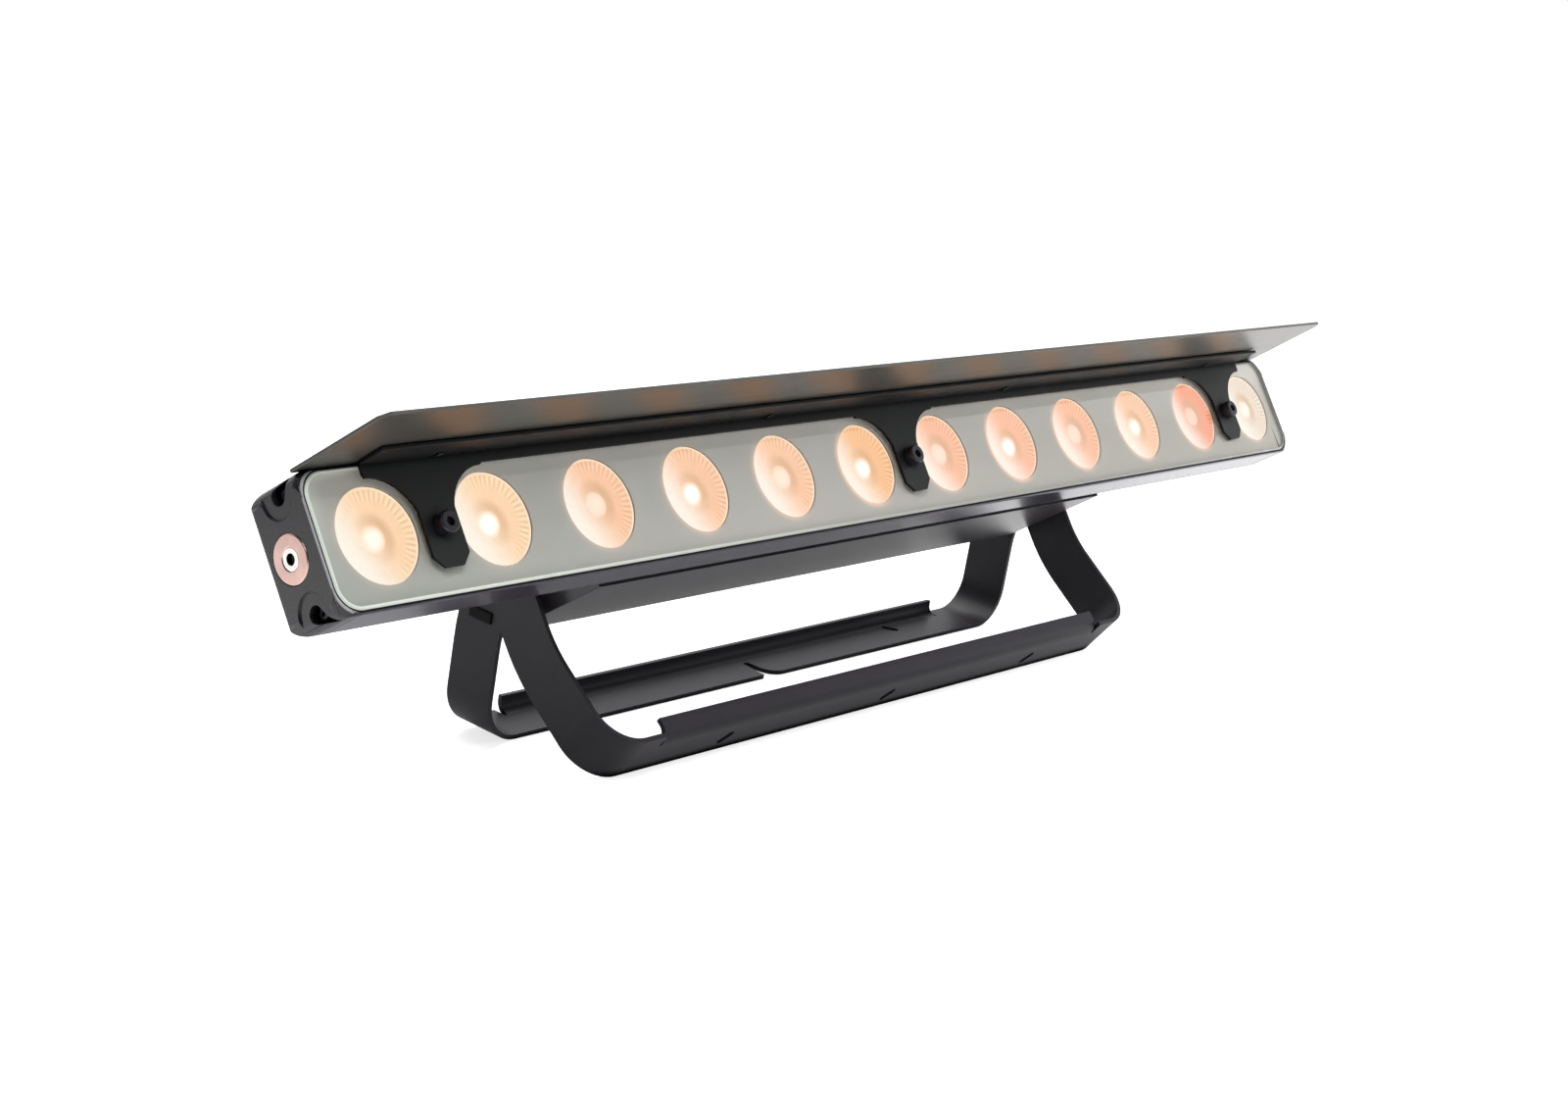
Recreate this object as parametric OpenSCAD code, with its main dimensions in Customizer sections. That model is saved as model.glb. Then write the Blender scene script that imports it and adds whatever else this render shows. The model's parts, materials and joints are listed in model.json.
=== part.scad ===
// LED strip batten: a tilting bar of lens cells on two folding yokes.
// The origin is on the floor under the middle of the batten. X runs along the bar, +Y is the back
// and Z is up. The bar itself is drawn in its own frame (see in_bar), which is then tilted back.

/* [Bar] */
// Overall length of the bar
bar_length = 1000; // [900:10:1100]
// Height of the bar's section
bar_height = 79; // [78:0.5:84]
// Depth of the bar's section, from the glass to the back
bar_depth = 42; // [42:0.5:46]
// Number of lens cells
cells = 12; // [12]
// Length of each end cap
cap_length = 15; // [13:0.5:18]
// How far the bar leans back from upright, in degrees
tilt = 30.4; // [20:0.2:40]

/* [Lenses] */
// Radius of the round window in front of each cell
window_r = 27; // [22:0.5:27]
// Radius of the seal post that passes through the glass
post_r = 6; // [5:0.5:7]

/* [Shield] */
// Reach of the shield plate in front of the glass
shield_reach = 67.5; // [40:0.5:90]
// Reach of the bracket ledge under the shield plate
ledge_reach = 23; // [20:0.5:35]

/* [Driver box] */
// Length of the driver box, with its end plates
box_length = 542; // [520:2:542]
// Distance from the glass to the back of the driver box
box_back = 131.7; // [130:0.1:140]

/* [Yokes] */
// Width of both yoke straps
strap_w = 36.5; // [30:0.5:38]
// Thickness of both yoke straps
strap_t = 3; // [2:0.5:3]
// Outside bend radius at the yoke corners
yoke_bend_r = 27.5; // [20:0.5:30]
// Distance from the pivot to the underside of the rear foot
rear_foot_drop = 120.6; // [118:0.2:124]
// Angle of the front yoke from the bar's own down line, in degrees
front_yoke_angle = -17.6; // [-20:0.2:-14]
// Angle of the rear yoke from the bar's own down line, in degrees
rear_yoke_angle = 37.2; // [32:0.2:40]

/* [Hidden] */
$fn = 64;
fit = 0.05;                       // clearance between parts that touch
pitch = bar_length / cells;
bar_r = bar_height / 2;           // half the section height
cap_seam = bar_length / 2 - cap_length;
front_lip = 0.4;                  // the metal lip stands just behind the glass face
front_edge_r = 3;
back_edge_r = 10;

// layers behind the glass
glass_t = 3;
glass_gap = 1;
glass_x = bar_length / 2 - 2.5;
glass_z = bar_r - 2;
glass_corner_r = 14;
mask_t = 0.5;
seat_y = glass_t + mask_t + 2 * fit;
cavity_z = 28.3;
lens_y = 4.1;
lens_rim_t = 2;
lens_end_y = 25;
board_y = 29;
board_t = 1.6;
floor_y = board_y + board_t;
floor_t = 5;
board_x = cap_seam - 5;
board_z = 27;
feed_x = 230;                     // cable hole between the bar and the driver box
feed_r = 6;

// shield bracket and its screws
sheet_t = 2;
bracket_y = -2.5;                 // front surface of the bracket
bracket_top = bar_r - 0.1;
bracket_low = 31.2;
bracket_x = bar_length / 2 - 41;
tab_x = [-5 * pitch, 0, 5 * pitch];
tab_half_w = 13;
screw_z = -0.7;
flap_rise = 1.9;
flap_lift = 0.1;                  // gap between the bar and the shield plate
flap_rear_y = 6;
rivet_x = [-406, -129, 129, 406];
rivet_y = -6;

// end cap details
cap_edge_r = 9;                   // rounding of the end face into the top and bottom
cap_back_r = 2.5;                 // rounding of the end face into the back
magnet_y = 23;
magnet_z = -0.5;
magnet_r = 13.5;
magnet_t = 3.4;
magnet_proud = 0.4;
pocket_y = 19;
pocket_z = 32;
pocket_r = 5;
pocket_depth = 9;
pocket_tip = [8.5, 39.2];           // point of the drain, as (y, z)
cap_screw_r = 1.7;
lens_recess = 2.5;                // depth of the hollow over the end lens
fall_depth = 13;                  // reach of the sloping front corners
fall_r = 24;

// driver box
box_x = box_length / 2;
end_plate_t = 3;
wall_t = 2;
tray_t = 2;
tray_y = bar_depth + tray_t;
box_corner_r = 6;
shell_x = box_x - end_plate_t;
ear = 12;
ear_y = [tray_y + ear / 2 + 2, box_back - wall_t - ear / 2];
ear_z = bar_r - wall_t - ear / 2;
socket_x = [-220, -180, 180, 220];
socket_r = [10, 10, 9.5, 9.5];
socket_body_r = 11.9;
socket_depth = 15;
socket_end_y = 105;
button_x = [10, 24, 38, 52];
button_z = 8;
button_r = 4;
display_x = -40;
fuse_x = -140;
vent_x = 140;
eye_z = -22;
eye_reach = 15;
eye_hole_r = 6.25;

// yokes and pivots
pivot_y = 99.2;
stud_r = 6;
washer_r = 18;
front_arm_x = 284;
rear_arm_x = 276.7;
knob_x = 285.5;
knob_t = 14.5;
front_strap_y = 1;                // front edge of the front strap, in its own frame
rear_strap_y = -1.5;              // front edge of the rear strap, in its own frame
front_elbow_drop = 60.8;
rear_elbow_drop = 34;
elbow_r = 110;                    // bend radius of the arms, at the middle of the strap
foot_flange_h = 13;
foot_flange_r = 10;
front_flange_x = 237;
rear_flange_x = 230;
foot_slot_x = [-167, 167];
foot_slot_l = 13;
foot_slot_w = 6.5;
buffer_y = 15;                    // window and rubber buffer in the rear arms
buffer_z = -41;
buffer_w = 18;
buffer_h = 6.5;

// heights: both feet touch the floor
rear_lean = rear_yoke_angle - tilt;
front_lean = front_yoke_angle - tilt;
pivot_height = rear_foot_drop * cos(rear_lean) - rear_strap_y * sin(rear_lean);
front_foot_drop = (pivot_height + (front_strap_y + strap_w) * sin(front_lean)) / cos(front_lean);
face_height = pivot_height + pivot_y * sin(tilt);
front_reach = shield_reach * cos(tilt) - (bar_r + flap_lift + flap_rise) * sin(tilt);
back_reach = pivot_y * cos(tilt) + (rear_strap_y + strap_w) * cos(rear_lean)
    + rear_foot_drop * sin(rear_lean);
face_y = (front_reach - back_reach) / 2;

// ---- frames and shared shapes ----

// Places its children, drawn with the glass face on y = 0, in the tilted bar.
module in_bar() {
    translate([0, face_y, face_height]) rotate([-tilt, 0, 0]) children();
}

// Places its children, drawn round the pivot with the strap hanging down -Z.
module at_pivot(angle) {
    in_bar() translate([0, pivot_y, 0]) rotate([angle, 0, 0]) children();
}

// Extrudes a (y, z) section from x0 to x1.
module along_x(x0, x1) {
    translate([x0, 0, 0]) rotate([90, 0, 90]) linear_extrude(x1 - x0) children();
}

// Extrudes an (x, z) outline from y0 to y1.
module along_y(y0, y1) {
    translate([0, y1, 0]) rotate([90, 0, 0]) linear_extrude(y1 - y0) children();
}

// A round bar from y0 to y1 at (x, z).
module pin_y(x, z, r, y0, y1) {
    translate([x, y0, z]) rotate([-90, 0, 0]) cylinder(r = r, h = y1 - y0);
}

// A round bar from x0 to x1 at (y, z).
module pin_x(y, z, r, x0, x1) {
    translate([x0, y, z]) rotate([0, 90, 0]) cylinder(r = r, h = x1 - x0);
}

// A hexagonal socket bar from y0 to y1 at (x, z).
module hex_y(x, z, r, y0, y1) {
    translate([x, y0, z]) rotate([-90, 0, 0]) cylinder(r = r, h = y1 - y0, $fn = 6);
}

// A box given by its two corners.
module block(a, b) {
    translate(a) cube(b - a);
}

// A rectangle centred on the origin with exact round corners.
module round_rect(half_w, half_h, r) {
    square([2 * (half_w - r), 2 * half_h], center = true);
    square([2 * half_w, 2 * (half_h - r)], center = true);
    for (sx = [-1, 1], sy = [-1, 1])
        translate([sx * (half_w - r), sy * (half_h - r)]) circle(r);
}

// A straight slot with round ends, centred on the origin and running along Y.
module slot(length, width) {
    square([width, length - width], center = true);
    for (s = [-1, 1]) translate([0, s * (length - width) / 2]) circle(width / 2);
}

// ---- bar ----

// The bar's outside section in (y, z), with small front edges and large back edges.
module bar_section() {
    front_flat = bar_r - front_edge_r;
    back_flat = bar_r - back_edge_r;
    translate([front_lip, -back_flat]) square([bar_depth - front_lip, 2 * back_flat]);
    translate([front_lip, -front_flat])
        square([bar_depth - front_lip - back_edge_r, 2 * front_flat]);
    translate([front_lip + front_edge_r, -bar_r])
        square([bar_depth - front_lip - front_edge_r - back_edge_r, bar_height]);
    for (s = [-1, 1]) {
        translate([front_lip + front_edge_r, s * front_flat]) circle(front_edge_r);
        translate([bar_depth - back_edge_r, s * back_flat]) circle(back_edge_r);
    }
}

// The pocket that the glass, its seal and the mask drop into.
module glass_pocket() {
    along_y(-1, seat_y) round_rect(glass_x + glass_gap, glass_z + glass_gap,
        glass_corner_r + glass_gap);
}

// Hollows and cooling grooves in the aluminium section.
module section_hollows() {
    translate([0, -cavity_z]) square([floor_y, 2 * cavity_z]);
    for (s = [-1, 1]) {
        translate([10.5, s * 33.9]) square([7, 8.2], center = true);
        translate([27, s * 33.9]) square([6, 8.2], center = true);
        translate([32.5, s * bar_r]) square([1, 1.6], center = true);
    }
    for (z = [-24:8:24])
        translate([floor_y + floor_t, z - 2]) square([bar_depth, 4]);
}

module housing_extrusion() {
    color("dimgray") in_bar() difference() {
        along_x(-cap_seam, cap_seam) difference() {
            bar_section();
            section_hollows();
        }
        glass_pocket();
        for (s = [-1, 1])
            pin_x(pocket_y, s * pocket_z, cap_screw_r + fit, -cap_seam - 1, cap_seam + 1);
        pin_y(feed_x, 0, feed_r, floor_y - 1, bar_depth + 1);
        for (p = board_screw_places())
            pin_y(p[0], p[1], 1.5 + fit, floor_y - 1, floor_y + floor_t + 1);
        for (p = tray_screw_places())
            pin_y(p[0], p[1], 2 + fit, floor_y + 1, bar_depth + 1);
    }
}

// A round pocket with a pointed drain towards the cap's front edge, as a (y, z) outline.
module screw_pocket(s) {
    tip = [pocket_tip[0], s * pocket_tip[1]];
    centre = [pocket_y, s * pocket_z];
    reach = norm(tip - centre);
    heading = atan2(tip[1] - centre[1], tip[0] - centre[0]);
    spread = acos(pocket_r / reach);
    translate(centre) circle(pocket_r);
    polygon([
        tip,
        centre + pocket_r * [cos(heading + spread), sin(heading + spread)],
        centre,
        centre + pocket_r * [cos(heading - spread), sin(heading - spread)]
    ]);
}

// The cap's outside with rounded end edges, for the +X end.
module cap_blank() {
    end_x = bar_length / 2;
    intersection() {
        along_x(cap_seam, end_x) bar_section();
        along_y(-1, bar_depth + 1)
            translate([end_x - 100, 0]) round_rect(100, bar_r, cap_edge_r);
        translate([end_x - 100, bar_depth - 100, -bar_r - 1])
            linear_extrude(bar_height + 2) round_rect(100, 100, cap_back_r);
    }
}

// What is taken off the upper front corner, so that it falls away round the glass.
module corner_fall() {
    centre_x = glass_x - glass_corner_r;
    centre_z = glass_z - glass_corner_r;
    end_x = bar_length / 2;
    difference() {
        block([centre_x, -1, centre_z], [end_x + 1, fall_depth, bar_r + 1]);
        translate([centre_x, front_lip, centre_z]) rotate([-90, 0, 0])
            cylinder(r1 = end_x - centre_x, r2 = fall_r, h = fall_depth - front_lip);
    }
}

module end_cap() {
    end_x = bar_length / 2;
    difference() {
        cap_blank();
        glass_pocket();
        block([cap_seam - 1, seat_y, -12], [cap_seam + lens_recess, floor_y, 12]);
        for (side = [0, 1]) mirror([0, 0, side]) corner_fall();
        pin_x(magnet_y, magnet_z, magnet_r + fit, end_x + magnet_proud - magnet_t - fit, end_x + 1);
        pin_x(magnet_y, magnet_z, 2.5 + fit, end_x - 12, end_x + 1);
        for (s = [-1, 1]) {
            along_x(end_x - pocket_depth, end_x + 1) screw_pocket(s);
            pin_x(pocket_y, s * pocket_z, 12.5, end_x - 1.2, end_x + 1);
            pin_x(pocket_y, s * pocket_z, cap_screw_r + 0.2, cap_seam - 1, end_x);
        }
    }
}

module left_end_cap() {
    color("#2a2a2d") in_bar() mirror([1, 0, 0]) end_cap();
}

module right_end_cap() {
    color("#2a2a2d") in_bar() end_cap();
}

// Steel disc with a countersunk hole, for the +X end.
module magnet_disc() {
    face_x = bar_length / 2 + magnet_proud;
    translate([face_x - magnet_t, magnet_y, magnet_z]) rotate([0, 90, 0]) rotate_extrude()
        polygon([
            [2.6, 0], [magnet_r, 0], [magnet_r, magnet_t - 0.6], [magnet_r - 0.6, magnet_t],
            [6.6, magnet_t], [2.6, magnet_t - 3]
        ]);
}

module left_magnet_disc() {
    color("#b9a9a6") in_bar() mirror([1, 0, 0]) magnet_disc();
}

module right_magnet_disc() {
    color("#b9a9a6") in_bar() magnet_disc();
}

// Countersunk screw that holds a magnet disc, for the +X end.
module magnet_screw() {
    face_x = bar_length / 2 + magnet_proud;
    difference() {
        translate([face_x - 11, magnet_y, magnet_z]) rotate([0, 90, 0]) rotate_extrude()
            polygon([[0, 0], [2.5, 0], [2.5, 8.1], [6.1, 10.7], [0, 10.7]]);
        translate([face_x - 1.9, magnet_y, magnet_z]) rotate([0, 90, 0])
            cylinder(r = 3.3, h = 3, $fn = 6);
    }
}

module magnet_screws() {
    color("#8f8a86") in_bar() {
        magnet_screw();
        mirror([1, 0, 0]) magnet_screw();
    }
}

module end_cap_screws() {
    floor_x = bar_length / 2 - pocket_depth;
    color("#3a3a3c") in_bar() for (side = [0, 1], s = [-1, 1]) mirror([side, 0, 0])
        difference() {
            union() {
                pin_x(pocket_y, s * pocket_z, cap_screw_r, floor_x - 22, floor_x + 1);
                pin_x(pocket_y, s * pocket_z, 3, floor_x + fit, floor_x + 3);
            }
            translate([floor_x + 1.2, pocket_y, s * pocket_z]) rotate([0, 90, 0])
                cylinder(r = 1.5, h = 3, $fn = 6);
        }
}

// ---- glass and optics ----

module front_glass() {
    color("#b9beb6") in_bar() difference() {
        along_y(0, glass_t) round_rect(glass_x, glass_z, glass_corner_r);
        for (x = tab_x) pin_y(x, screw_z, post_r + 0.6, -1, glass_t + 1);
    }
}

module glass_gasket() {
    inner = fit;
    outer = glass_gap - fit;
    color("black") in_bar() along_y(0.8, seat_y - fit) difference() {
        round_rect(glass_x + outer, glass_z + outer, glass_corner_r + outer);
        round_rect(glass_x + inner, glass_z + inner, glass_corner_r + inner);
    }
}

module window_mask() {
    color("#8d928c") in_bar() along_y(glass_t + fit, glass_t + fit + mask_t) difference() {
        round_rect(glass_x - 1, glass_z - 1, glass_corner_r - 1);
        for (i = [0:cells - 1]) translate([cell_x(i), 0]) circle(window_r);
        for (x = tab_x) translate([x, screw_z]) circle(post_r + 0.6);
    }
}

function cell_x(i) = (i - (cells - 1) / 2) * pitch;

// One moulded lens: a flat rim, a cone and a recess over the light source.
module lens() {
    cone_y = lens_y + lens_rim_t;
    translate([0, lens_y, 0]) rotate([-90, 0, 0]) rotate_extrude() polygon([
        [0, 0], [window_r, 0], [window_r, lens_rim_t], [window_r - 1.5, lens_rim_t],
        [11, lens_end_y - lens_y], [6, lens_end_y - lens_y], [4.5, lens_end_y - cone_y - 3],
        [0, lens_end_y - cone_y - 4]
    ]);
}

module lenses() {
    color("#ffe2c4") in_bar() for (i = [0:cells - 1]) translate([cell_x(i), 0, 0]) lens();
}

// One cone that carries a lens over the board.
module lens_holder() {
    top_y = lens_y + lens_rim_t + fit;
    height = board_y - fit - top_y;
    translate([0, top_y, 0]) rotate([-90, 0, 0]) rotate_extrude() polygon([
        [window_r - 0.3, 0], [window_r + 0.9, 0], [13, height], [11.8, height]
    ]);
}

module lens_holders() {
    color("#e8e6e0") in_bar() for (i = [0:cells - 1])
        translate([cell_x(i), 0, 0]) lens_holder();
}

function board_screw_places() = [for (k = [-4, -2, 2, 4], z = [-18, 18]) [k * pitch, z]];

module led_board() {
    color("#f2f2ee") in_bar() difference() {
        block([-board_x, board_y, -board_z], [board_x, floor_y, board_z]);
        for (x = tab_x) pin_y(x, screw_z, post_r + 0.6, board_y - 1, floor_y + 1);
        for (p = board_screw_places()) pin_y(p[0], p[1], 1.7, board_y - 1, floor_y + 1);
        pin_y(feed_x, 0, 3, board_y - 1, floor_y + 1);
    }
}

module led_emitters() {
    half = 6;
    dome_r = 4;
    color("#fff3a0") in_bar() for (i = [0:cells - 1]) translate([cell_x(i), 0, 0]) {
        block([-half, board_y - 1.2, -half], [half, board_y, half]);
        pin_y(0, 0, dome_r, board_y - 2.5, board_y - 1.2);
    }
}

module board_screws() {
    color("silver") in_bar() for (p = board_screw_places()) difference() {
        union() {
            pin_y(p[0], p[1], 1.5, board_y - 1, floor_y + floor_t);
            pin_y(p[0], p[1], 2.8, board_y - 2, board_y);
        }
        hex_y(p[0], p[1], 1.3, board_y - 3, board_y - 1);
    }
}

// ---- shield ----

module shield_posts() {
    color("silver") in_bar() for (x = tab_x) difference() {
        pin_y(x, screw_z, post_r, bracket_y + sheet_t, floor_y);
        pin_y(x, screw_z, 3 + fit, bracket_y, 16);
    }
}

module post_seals() {
    color("black") in_bar() for (x = tab_x) difference() {
        pin_y(x, screw_z, post_r + 0.6 - fit, 0.3, glass_t);
        pin_y(x, screw_z, post_r + fit, -1, glass_t + 1);
    }
}

// Front outline of one fixing tab: its sides follow the rings of the lenses beside it.
module tab_outline() {
    ring_r = 30;
    low_z = -17;
    tip_z = -23.5;
    tip_half_w = 6.7;
    difference() {
        translate([-pitch / 2, 0]) square([pitch, bracket_low + 1]);
        for (s = [-1, 1]) translate([s * pitch / 2, 0]) circle(ring_r);
    }
    polygon([
        [-tab_half_w, 9], [-tab_half_w, low_z], [-tip_half_w, tip_z], [tip_half_w, tip_z],
        [tab_half_w, low_z], [tab_half_w, 9]
    ]);
}

// Folded section of the bracket in (y, z): a front strip turned forward into a ledge.
module bracket_fold() {
    bend = 2.2;
    centre = [bracket_y - bend + sheet_t, bracket_top - bend];
    translate([bracket_y, bracket_low]) square([sheet_t, centre[1] - bracket_low]);
    translate([-ledge_reach, bracket_top - sheet_t])
        square([centre[0] + ledge_reach, sheet_t]);
    intersection() {
        translate(centre) difference() {
            circle(bend);
            circle(bend - sheet_t);
        }
        translate(centre) square([bend, bend]);
    }
}

module shield_bracket() {
    hole_r = 1.8;
    color("#26262a") in_bar() difference() {
        union() {
            along_x(-bracket_x, bracket_x) bracket_fold();
            along_y(bracket_y, bracket_y + sheet_t) intersection() {
                for (x = tab_x) translate([x, 0]) tab_outline();
                square([2 * bracket_x, 2 * bracket_top], center = true);
            }
        }
        for (x = tab_x) pin_y(x, screw_z, 3.3, bracket_y - 1, 1);
        for (x = rivet_x)
            translate([x, rivet_y, bracket_top - 5]) cylinder(r = hole_r, h = 10);
    }
}

// The shield plate lies just above the bar and rises a little towards its free edge.
module shield_flap() {
    rear_x = bar_length / 2 - 2.5;
    free_x = bar_length / 2 - 7;
    corner = 5;
    depth = norm([shield_reach + flap_rear_y, flap_rise]);
    slope = atan2(flap_rise, shield_reach + flap_rear_y);
    color("#6e6a64") in_bar() difference() {
        translate([0, flap_rear_y, bar_r + flap_lift]) rotate([-slope, 0, 0]) linear_extrude(sheet_t)
            polygon([
                [-rear_x, 0], [rear_x, 0], [free_x, corner - depth], [free_x - corner, -depth],
                [corner - free_x, -depth], [-free_x, corner - depth]
            ]);
        for (x = rivet_x) translate([x, rivet_y, bar_r - 1]) cylinder(r = 1.8, h = 8);
    }
}

module shield_rivets() {
    under = bracket_top - sheet_t;
    gap_top = bar_r + flap_lift
        + flap_rise * (flap_rear_y - rivet_y) / (shield_reach + flap_rear_y);
    color("#8a8a8c") in_bar() for (x = rivet_x) translate([x, rivet_y, 0]) {
        translate([0, 0, under - 0.9]) cylinder(r = 2.2, h = 0.9 - fit);
        translate([0, 0, under - 0.5]) cylinder(r = 1.6, h = gap_top + sheet_t + 0.5 - under);
        translate([0, 0, bracket_top + fit]) cylinder(r = 3, h = gap_top - bracket_top - 0.2);
        translate([0, 0, gap_top + sheet_t + 0.15]) cylinder(r = 3, h = 1);
    }
}

module shield_screws() {
    head_r = 6.35;
    head_y = -9.5;
    color("#2b2b2d") in_bar() for (x = tab_x) difference() {
        union() {
            pin_y(x, screw_z, 3, bracket_y - 1, 14);
            translate([x, head_y, screw_z]) rotate([-90, 0, 0]) rotate_extrude() polygon([
                [0, 0], [head_r - 0.8, 0], [head_r, 0.8], [head_r, bracket_y - head_y],
                [0, bracket_y - head_y]
            ]);
        }
        hex_y(x, screw_z, 2.9, head_y - 1, head_y + 3.5);
    }
}

// ---- driver box ----

function tray_screw_places() = [for (x = [-200, -70, 70, 200], z = [-28, 28]) [x, z]];

module chassis_tray() {
    color("#4b4b4e") in_bar() difference() {
        block([-shell_x, bar_depth, -bar_r], [shell_x, tray_y, bar_r]);
        pin_y(feed_x, 0, feed_r, bar_depth - 1, tray_y + 1);
        for (p = tray_screw_places()) pin_y(p[0], p[1], 2.2, bar_depth - 1, tray_y + 1);
    }
}

module tray_screws() {
    color("silver") in_bar() for (p = tray_screw_places()) difference() {
        union() {
            pin_y(p[0], p[1], 2, bar_depth - 5, tray_y + 0.5);
            pin_y(p[0], p[1], 3.5, tray_y, tray_y + 2);
        }
        hex_y(p[0], p[1], 1.5, tray_y + 1, tray_y + 3);
    }
}

// The back panel's openings.
module panel_openings() {
    y0 = box_back - wall_t - 1;
    y1 = box_back + 1;
    for (x = socket_x) pin_y(x, 0, socket_body_r + 0.1, y0, y1);
    for (x = button_x) pin_y(x, button_z, button_r + 0.1, y0, y1);
    pin_y(fuse_x, 0, 7.6, y0, y1);
    pin_y(vent_x, 0, 6.1, y0, y1);
    block([display_x - 24, y0, -7], [display_x + 24, y1, 19]);
    for (x = socket_x, s = [-1, 1]) pin_y(x + s * 9.5, s * 12, 1.6, y0, y1);
    for (s = [-1, 1]) pin_y(s * 7, eye_z, 2.1, y0, y1);
}

// Folded section of the box in (y, z): top, back and bottom in one sheet.
module shell_section() {
    half_y = (box_back - tray_y) / 2;
    translate([tray_y + half_y, 0]) difference() {
        union() {
            round_rect(half_y, bar_r, box_corner_r);
            translate([-half_y, -bar_r]) square([half_y, bar_height]);
        }
        round_rect(half_y - wall_t, bar_r - wall_t, box_corner_r - wall_t);
        translate([-half_y - 1, wall_t - bar_r]) square([half_y, bar_height - 2 * wall_t]);
    }
}

module driver_box_shell() {
    color("#3a3a3e") in_bar() difference() {
        union() {
            along_x(-shell_x, shell_x) shell_section();
            for (s = [-1, 1], y = ear_y, z = [-ear_z, ear_z])
                translate([s * (shell_x - wall_t), y, z])
                    cube([2 * wall_t, ear, ear], center = true);
        }
        panel_openings();
        for (s = [-1, 1], y = ear_y, z = [-ear_z, ear_z])
            pin_x(y, z, 1.5 + fit, s * shell_x - 6, s * shell_x + 6);
    }
}

// End plate of the box for the +X end.
module box_end() {
    half_y = (box_back - bar_depth) / 2;
    difference() {
        along_x(shell_x, box_x) translate([bar_depth + half_y, 0]) {
            round_rect(half_y, bar_r, box_corner_r);
            translate([-half_y, -bar_r]) square([half_y, bar_height]);
        }
        pin_x(pivot_y, 0, stud_r + fit, shell_x - 1, box_x + 1);
        for (y = ear_y, z = [-ear_z, ear_z]) pin_x(y, z, 1.7, shell_x - 1, box_x + 1);
    }
}

module left_box_end() {
    color("#303034") in_bar() mirror([1, 0, 0]) box_end();
}

module right_box_end() {
    color("#303034") in_bar() box_end();
}

module box_screws() {
    color("#3a3a3c") in_bar() for (side = [0, 1], y = ear_y, z = [-ear_z, ear_z])
        mirror([side, 0, 0]) difference() {
            union() {
                pin_x(y, z, 1.5, shell_x - 3, box_x + 0.5);
                pin_x(y, z, 2.8, box_x, box_x + 1.6);
            }
            translate([box_x + 0.8, y, z]) rotate([0, 90, 0]) cylinder(r = 1.3, h = 2, $fn = 6);
        }
}

module power_supply() {
    x0 = -242;
    x1 = -82;
    top_y = 98;
    color("#c9cbc8") in_bar() difference() {
        union() {
            block([x0, tray_y + 4, -30], [x1, top_y, 30]);
            for (x = [x0 + 8, x1 - 8], z = [-24, 24]) pin_y(x, z, 3.5, tray_y, tray_y + 5);
        }
        for (x = [x0 + 20:12:x1 - 20], z = [-16:8:16]) pin_y(x, z, 2.2, top_y - 2, top_y + 1);
    }
}

module driver_board() {
    x0 = -50;
    x1 = 200;
    face_y1 = 52;
    color("#2f6a45") in_bar() {
        block([x0, face_y1 - 1.6, -32], [x1, face_y1, 32]);
        for (x = [x0 + 8, x1 - 8], z = [-26, 26]) pin_y(x, z, 3, tray_y, face_y1 - 1);
        block([x0 + 2, face_y1 - 0.5, -10], [x0 + 14, face_y1 + 10, 22]);
        block([x1 - 14, face_y1 - 0.5, -12], [x1 - 1, face_y1 + 12, 12]);
        for (i = [0:5]) {
            pin_y(x0 + 36 + 26 * i, -20, 8, face_y1 - 0.5, face_y1 + 22);
            block([x0 + 28 + 26 * i, face_y1 - 0.5, 4], [x0 + 44 + 26 * i, face_y1 + 9, 20]);
        }
    }
}

module control_board() {
    board_back = 119.6;
    wall_in = box_back - wall_t;
    x0 = -72;
    x1 = 66;
    color("#2f6a45") in_bar() {
        block([x0, board_back - 1.6, -14], [x1, board_back, 24]);
        block([display_x - 23, board_back - 0.5, -6], [display_x + 23, wall_in - 1, 18]);
        for (x = button_x) block([x - 3, board_back - 0.5, button_z - 3],
            [x + 3, board_back + 4, button_z + 3]);
        for (x = [x0 + 4, x1 - 4], z = [-10, 20])
            pin_y(x, z, 2.5, board_back - 0.5, wall_in - fit);
    }
}

module display_window() {
    color("#101418") in_bar() along_y(box_back + fit, box_back + 1.6)
        translate([display_x, 6]) round_rect(27, 16, 3);
}

// A push button that stands out of the back panel, held in by a collar behind it.
module push_button(i) {
    collar_y = box_back - wall_t - 0.1;
    in_bar() difference() {
        union() {
            pin_y(button_x[i], button_z, button_r, collar_y - 1, box_back + 2.5);
            pin_y(button_x[i], button_z, button_r + 1.2, collar_y - 1.6, collar_y);
            pin_y(button_x[i], button_z, 1.8, collar_y - 4.5, collar_y);
        }
        translate([button_x[i], box_back + 16.2, button_z]) sphere(r = 14);
    }
}

module menu_button() {
    color("#55565a") push_button(0);
}

module down_button() {
    color("#55565a") push_button(1);
}

module up_button() {
    color("#55565a") push_button(2);
}

module enter_button() {
    color("#55565a") push_button(3);
}

// A round chassis socket on a rectangular flange; its mouth is the back face.
module chassis_socket(i) {
    face_y = box_back + 2;
    x = socket_x[i];
    in_bar() difference() {
        union() {
            along_y(box_back + fit, face_y) translate([x, 0]) round_rect(13, 15.5, 2);
            pin_y(x, 0, socket_body_r, socket_end_y, box_back + 1);
        }
        pin_y(x, 0, socket_r[i], face_y - socket_depth, face_y + 1);
        for (s = [-1, 1]) pin_y(x + s * 9.5, s * 12, 1.7, box_back - 1, face_y + 1);
    }
}

module power_inlet() {
    color("#2c4fa3") chassis_socket(0);
}

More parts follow.
